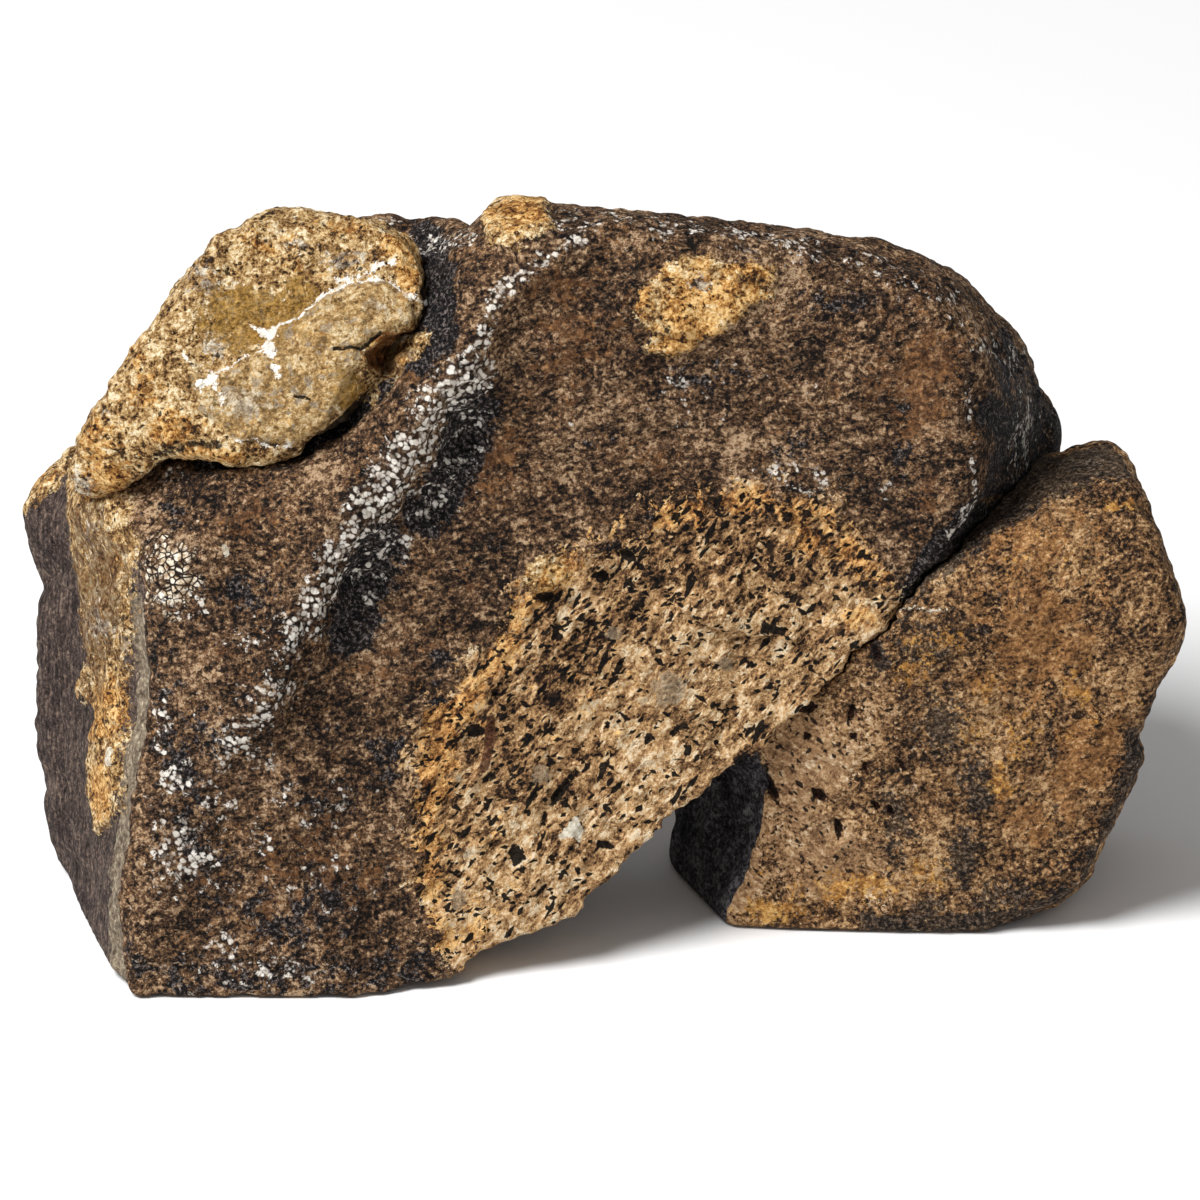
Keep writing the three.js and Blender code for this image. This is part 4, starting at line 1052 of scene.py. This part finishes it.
# Painted shade: black lines in the cracks of the rock and along its lower edges where it meets the bone.
LUMP_CRACK_SHADE_LINES = [
    ([(-26.3, 24.6), (-23.8, 24.9), (-21.9, 26.5)], 0.17, 1), ([(-30.4, 20.4), (-28.8, 20.1)], 0.15, 1),
    ([(-17, 33), (-17, 29), (-18.2, 25), (-23, 20), (-29, 14.6)], 0.6, 0.9),
    ([(-44, 14.6), (-41, 15.4), (-38, 15.6)], 0.8, 0.5),
]
LUMP_OCHRE_SPOTS = [
    (-49, 16, 4, 4, 0.75), (-45, 21, 2.6, 4, 0.6), (-49.5, 12, 3, 2.4, 1), (-38.5, 14.6, 6, 1.2, 0.9),
    (-19.4, 33, 1.4, 4, 1), (-34, 27, 5, 2.6, 0.5), (-26, 37, 4, 1.4, 0.7), (-30, 19, 3, 3, 0.4),
    (-22, 25, 2, 2, 0.9), (-29, 26.4, 4, 2, 0.5), (-43, 17, 3, 2.6, 0.9), (-33, 35.5, 5, 2, 0.6),
    (-29, 32.6, 3, 1.4, 0.6), (-38, 29, 2, 3, 0.5), (-20.4, 35.4, 2, 2, 0.9), (-24, 19.6, 2.6, 2, 0.6),
    (-28, 23, 3, 2, 0.45), (-46, 24, 1.6, 4, 0.6), (-34.6, 17, 3, 1.4, 0.6),
]
LUMP_PALE_SPOTS = [
    (-35.6, 19.6, 3.6, 2.4, 0.9), (-30.6, 20.6, 3, 2.4, 0.5), (-39, 32, 3.4, 3.4, 0.7),
    (-25, 34, 4, 2, 0.7), (-38.6, 25.6, 2, 2, 0.8), (-22, 29, 3, 1.6, 0.6), (-30, 36, 3, 2, 0.6),
    (-51.5, 12, 1.6, 2, 0.7), (-50, 18, 2, 2, 0.4),
]
# Olive stains; the spot at (-25.2, 20.6) is painted shade on the rock's lower right side wall.
OLIVE_AND_SHADE_SPOTS = [
    (-34.5, 28, 6.4, 3.8, 1), (-30, 30, 3, 3, 0.7), (-25.2, 20.6, 1.6, 2.8, 1), (-27, 34, 3, 2, 0.3),
]

u, v, w = points.T
normal = outward(points, faces)
cavity = within([CAVITY], u, v, w > 0)
facet = within([FACET], u, v, w > 0)
black = near(LUMP_CRACK_SHADE_LINES, u, v)
steady = smooth(0.2, 1.2, SEAT + 0.7 + w - large_front(u, v))
lift = roughness_of(points, [6, 3, 1.6], [0.45, 0.36, 0.24], 60) + 0.17 * grain(points, 0.9, 64)
lift += 0.9 * smooth(-0.4, 0.8, facet) - 1.6 * smooth(-0.2, 0.8, cavity) - 0.6 * black
lift -= 0.25 * smooth(-0.5, 1.5, facet) * grain(points, 1.6, 61)
points = points + normal * (lift * steady)[:, None]
veins = np.min([np.abs(side_of(vein, u, v)) for vein in VEINS], axis=0)
marks = {
    "veins": np.minimum(veins, 3), "whites": within(WHITES, u, v, w > 0), "cavity": cavity, "facet": facet,
    "black": black, "ochre": dabs(LUMP_OCHRE_SPOTS, u, v), "pale": dabs(LUMP_PALE_SPOTS, u, v),
    "olive": dabs(OLIVE_AND_SHADE_SPOTS, u, v),
}

ROCK_GRAIN = 0.0006  # depth of the fine grain in the rock, in metres
ROCK_ROUGHNESS = 0.86

sandy_rock, place = new_finish("sandy_rock")
colour = sandy(place, place.mark("ochre"), place.mark("pale"))
grit = place.noise(0.5, 4, 0.78)
# Olive stains, and one dark olive spot of painted shade on the rock's lower right side wall.
olive = speckle(place, place.mark("olive") * 1.25, 1.2)
stops = [(0.32, 50, 36, 16), (0.45, 114, 84, 36), (0.56, 160, 122, 58), (0.7, 202, 162, 92)]
colour = (olive * 0.82).mix(colour, grit.ramp(stops))
facet = (place.mark("facet") + place.noise(1.6, 4, 0.7) * 1.2 - 0.6).rise(-0.15, 0.15)
stops = [(0.32, 92, 70, 40), (0.45, 160, 128, 80), (0.56, 192, 160, 108), (0.7, 222, 196, 148)]
colour = (facet * 0.36).mix(colour, place.noise(0.8, 5, 0.75).ramp(stops))
inclusions = place.noise(1.6, 2, 0.6).rise(0.58, 0.61) * facet
colour = (inclusions * 0.6).mix(colour, grit.ramp([(0.4, 108, 96, 84), (0.6, 170, 156, 136)]))
cavity = (place.mark("cavity") + place.noise(1, 4, 0.75) * 3 - 1.5).rise(-0.2, 0.2)
stops = [(0.34, 26, 14, 9), (0.48, 84, 46, 22), (0.6, 140, 88, 42), (0.7, 186, 134, 76)]
colour = (cavity * 0.9).mix(colour, grit.ramp(stops))
# Black painted shade in the cracks and along the rock's lower edges against the bone.
soot_and_shade = (place.mark("black") + place.noise(0.7, 4, 0.75) * 1.2 - 0.6).rise(0.3, 0.5)
colour = (soot_and_shade * 0.92).mix(colour, paint(20, 15, 12))
veins = (place.mark("veins") + place.noise(1.3, 4, 0.8) * 2.6).rise(1.52, 1.38)
veins = veins.most((place.mark("whites") + place.noise(0.7, 4, 0.75) * 2 - 1).rise(-0.05, 0.1))
stops = [(0.35, 206, 192, 170), (0.55, 252, 248, 240)]
colour = veins.mix(colour, grit.ramp(stops))
show(sandy_rock, colour.shader(ROCK_ROUGHNESS, relief(place).bumps(ROCK_GRAIN)))
make_piece("rock", points, faces, marks, sandy_rock, "rock_lump")


# Table and light. A plain pale table top, one broad soft lamp above and to the left in front of the
# specimen, and an even white surround that opens up the shadows.
table = bpy.data.meshes.new("table")
corners = [(x, y, -0.0002) for x, y in [(-4, -4), (4, -4), (4, 4), (-4, 4)]]
table.from_pydata(corners, [], [(0, 1, 2, 3)])
table_object = bpy.data.objects.new("table", table)
bpy.context.scene.collection.objects.link(table_object)
pale = bpy.data.materials.new("pale_table")
pale.use_nodes = True
pale.node_tree.nodes["Principled BSDF"].inputs["Base Color"].default_value = (0.9, 0.9, 0.9, 1)
pale.node_tree.nodes["Principled BSDF"].inputs["Roughness"].default_value = 0.9
table.materials.append(pale)

LAMP_PLACE = (-0.45, -0.35, 0.85)
LIT_MIDDLE = (0, 0, 0.035)

lamp = bpy.data.lights.new("soft_lamp", "AREA")
lamp.shape = "DISK"
lamp.size = 0.5
lamp.energy = 13.5
lamp_object = bpy.data.objects.new("soft_lamp", lamp)
bpy.context.scene.collection.objects.link(lamp_object)
lamp_object.location = LAMP_PLACE
shines = Vector(LIT_MIDDLE) - lamp_object.location
lamp_object.rotation_euler = shines.to_track_quat("-Z", "Y").to_euler()

surround = bpy.data.worlds.new("surround")
surround.use_nodes = True
surround.node_tree.nodes["Background"].inputs["Color"].default_value = (1, 1, 1, 1)
surround.node_tree.nodes["Background"].inputs["Strength"].default_value = 0.34
bpy.context.scene.world = surround
bpy.context.scene.view_settings.view_transform = "Standard"
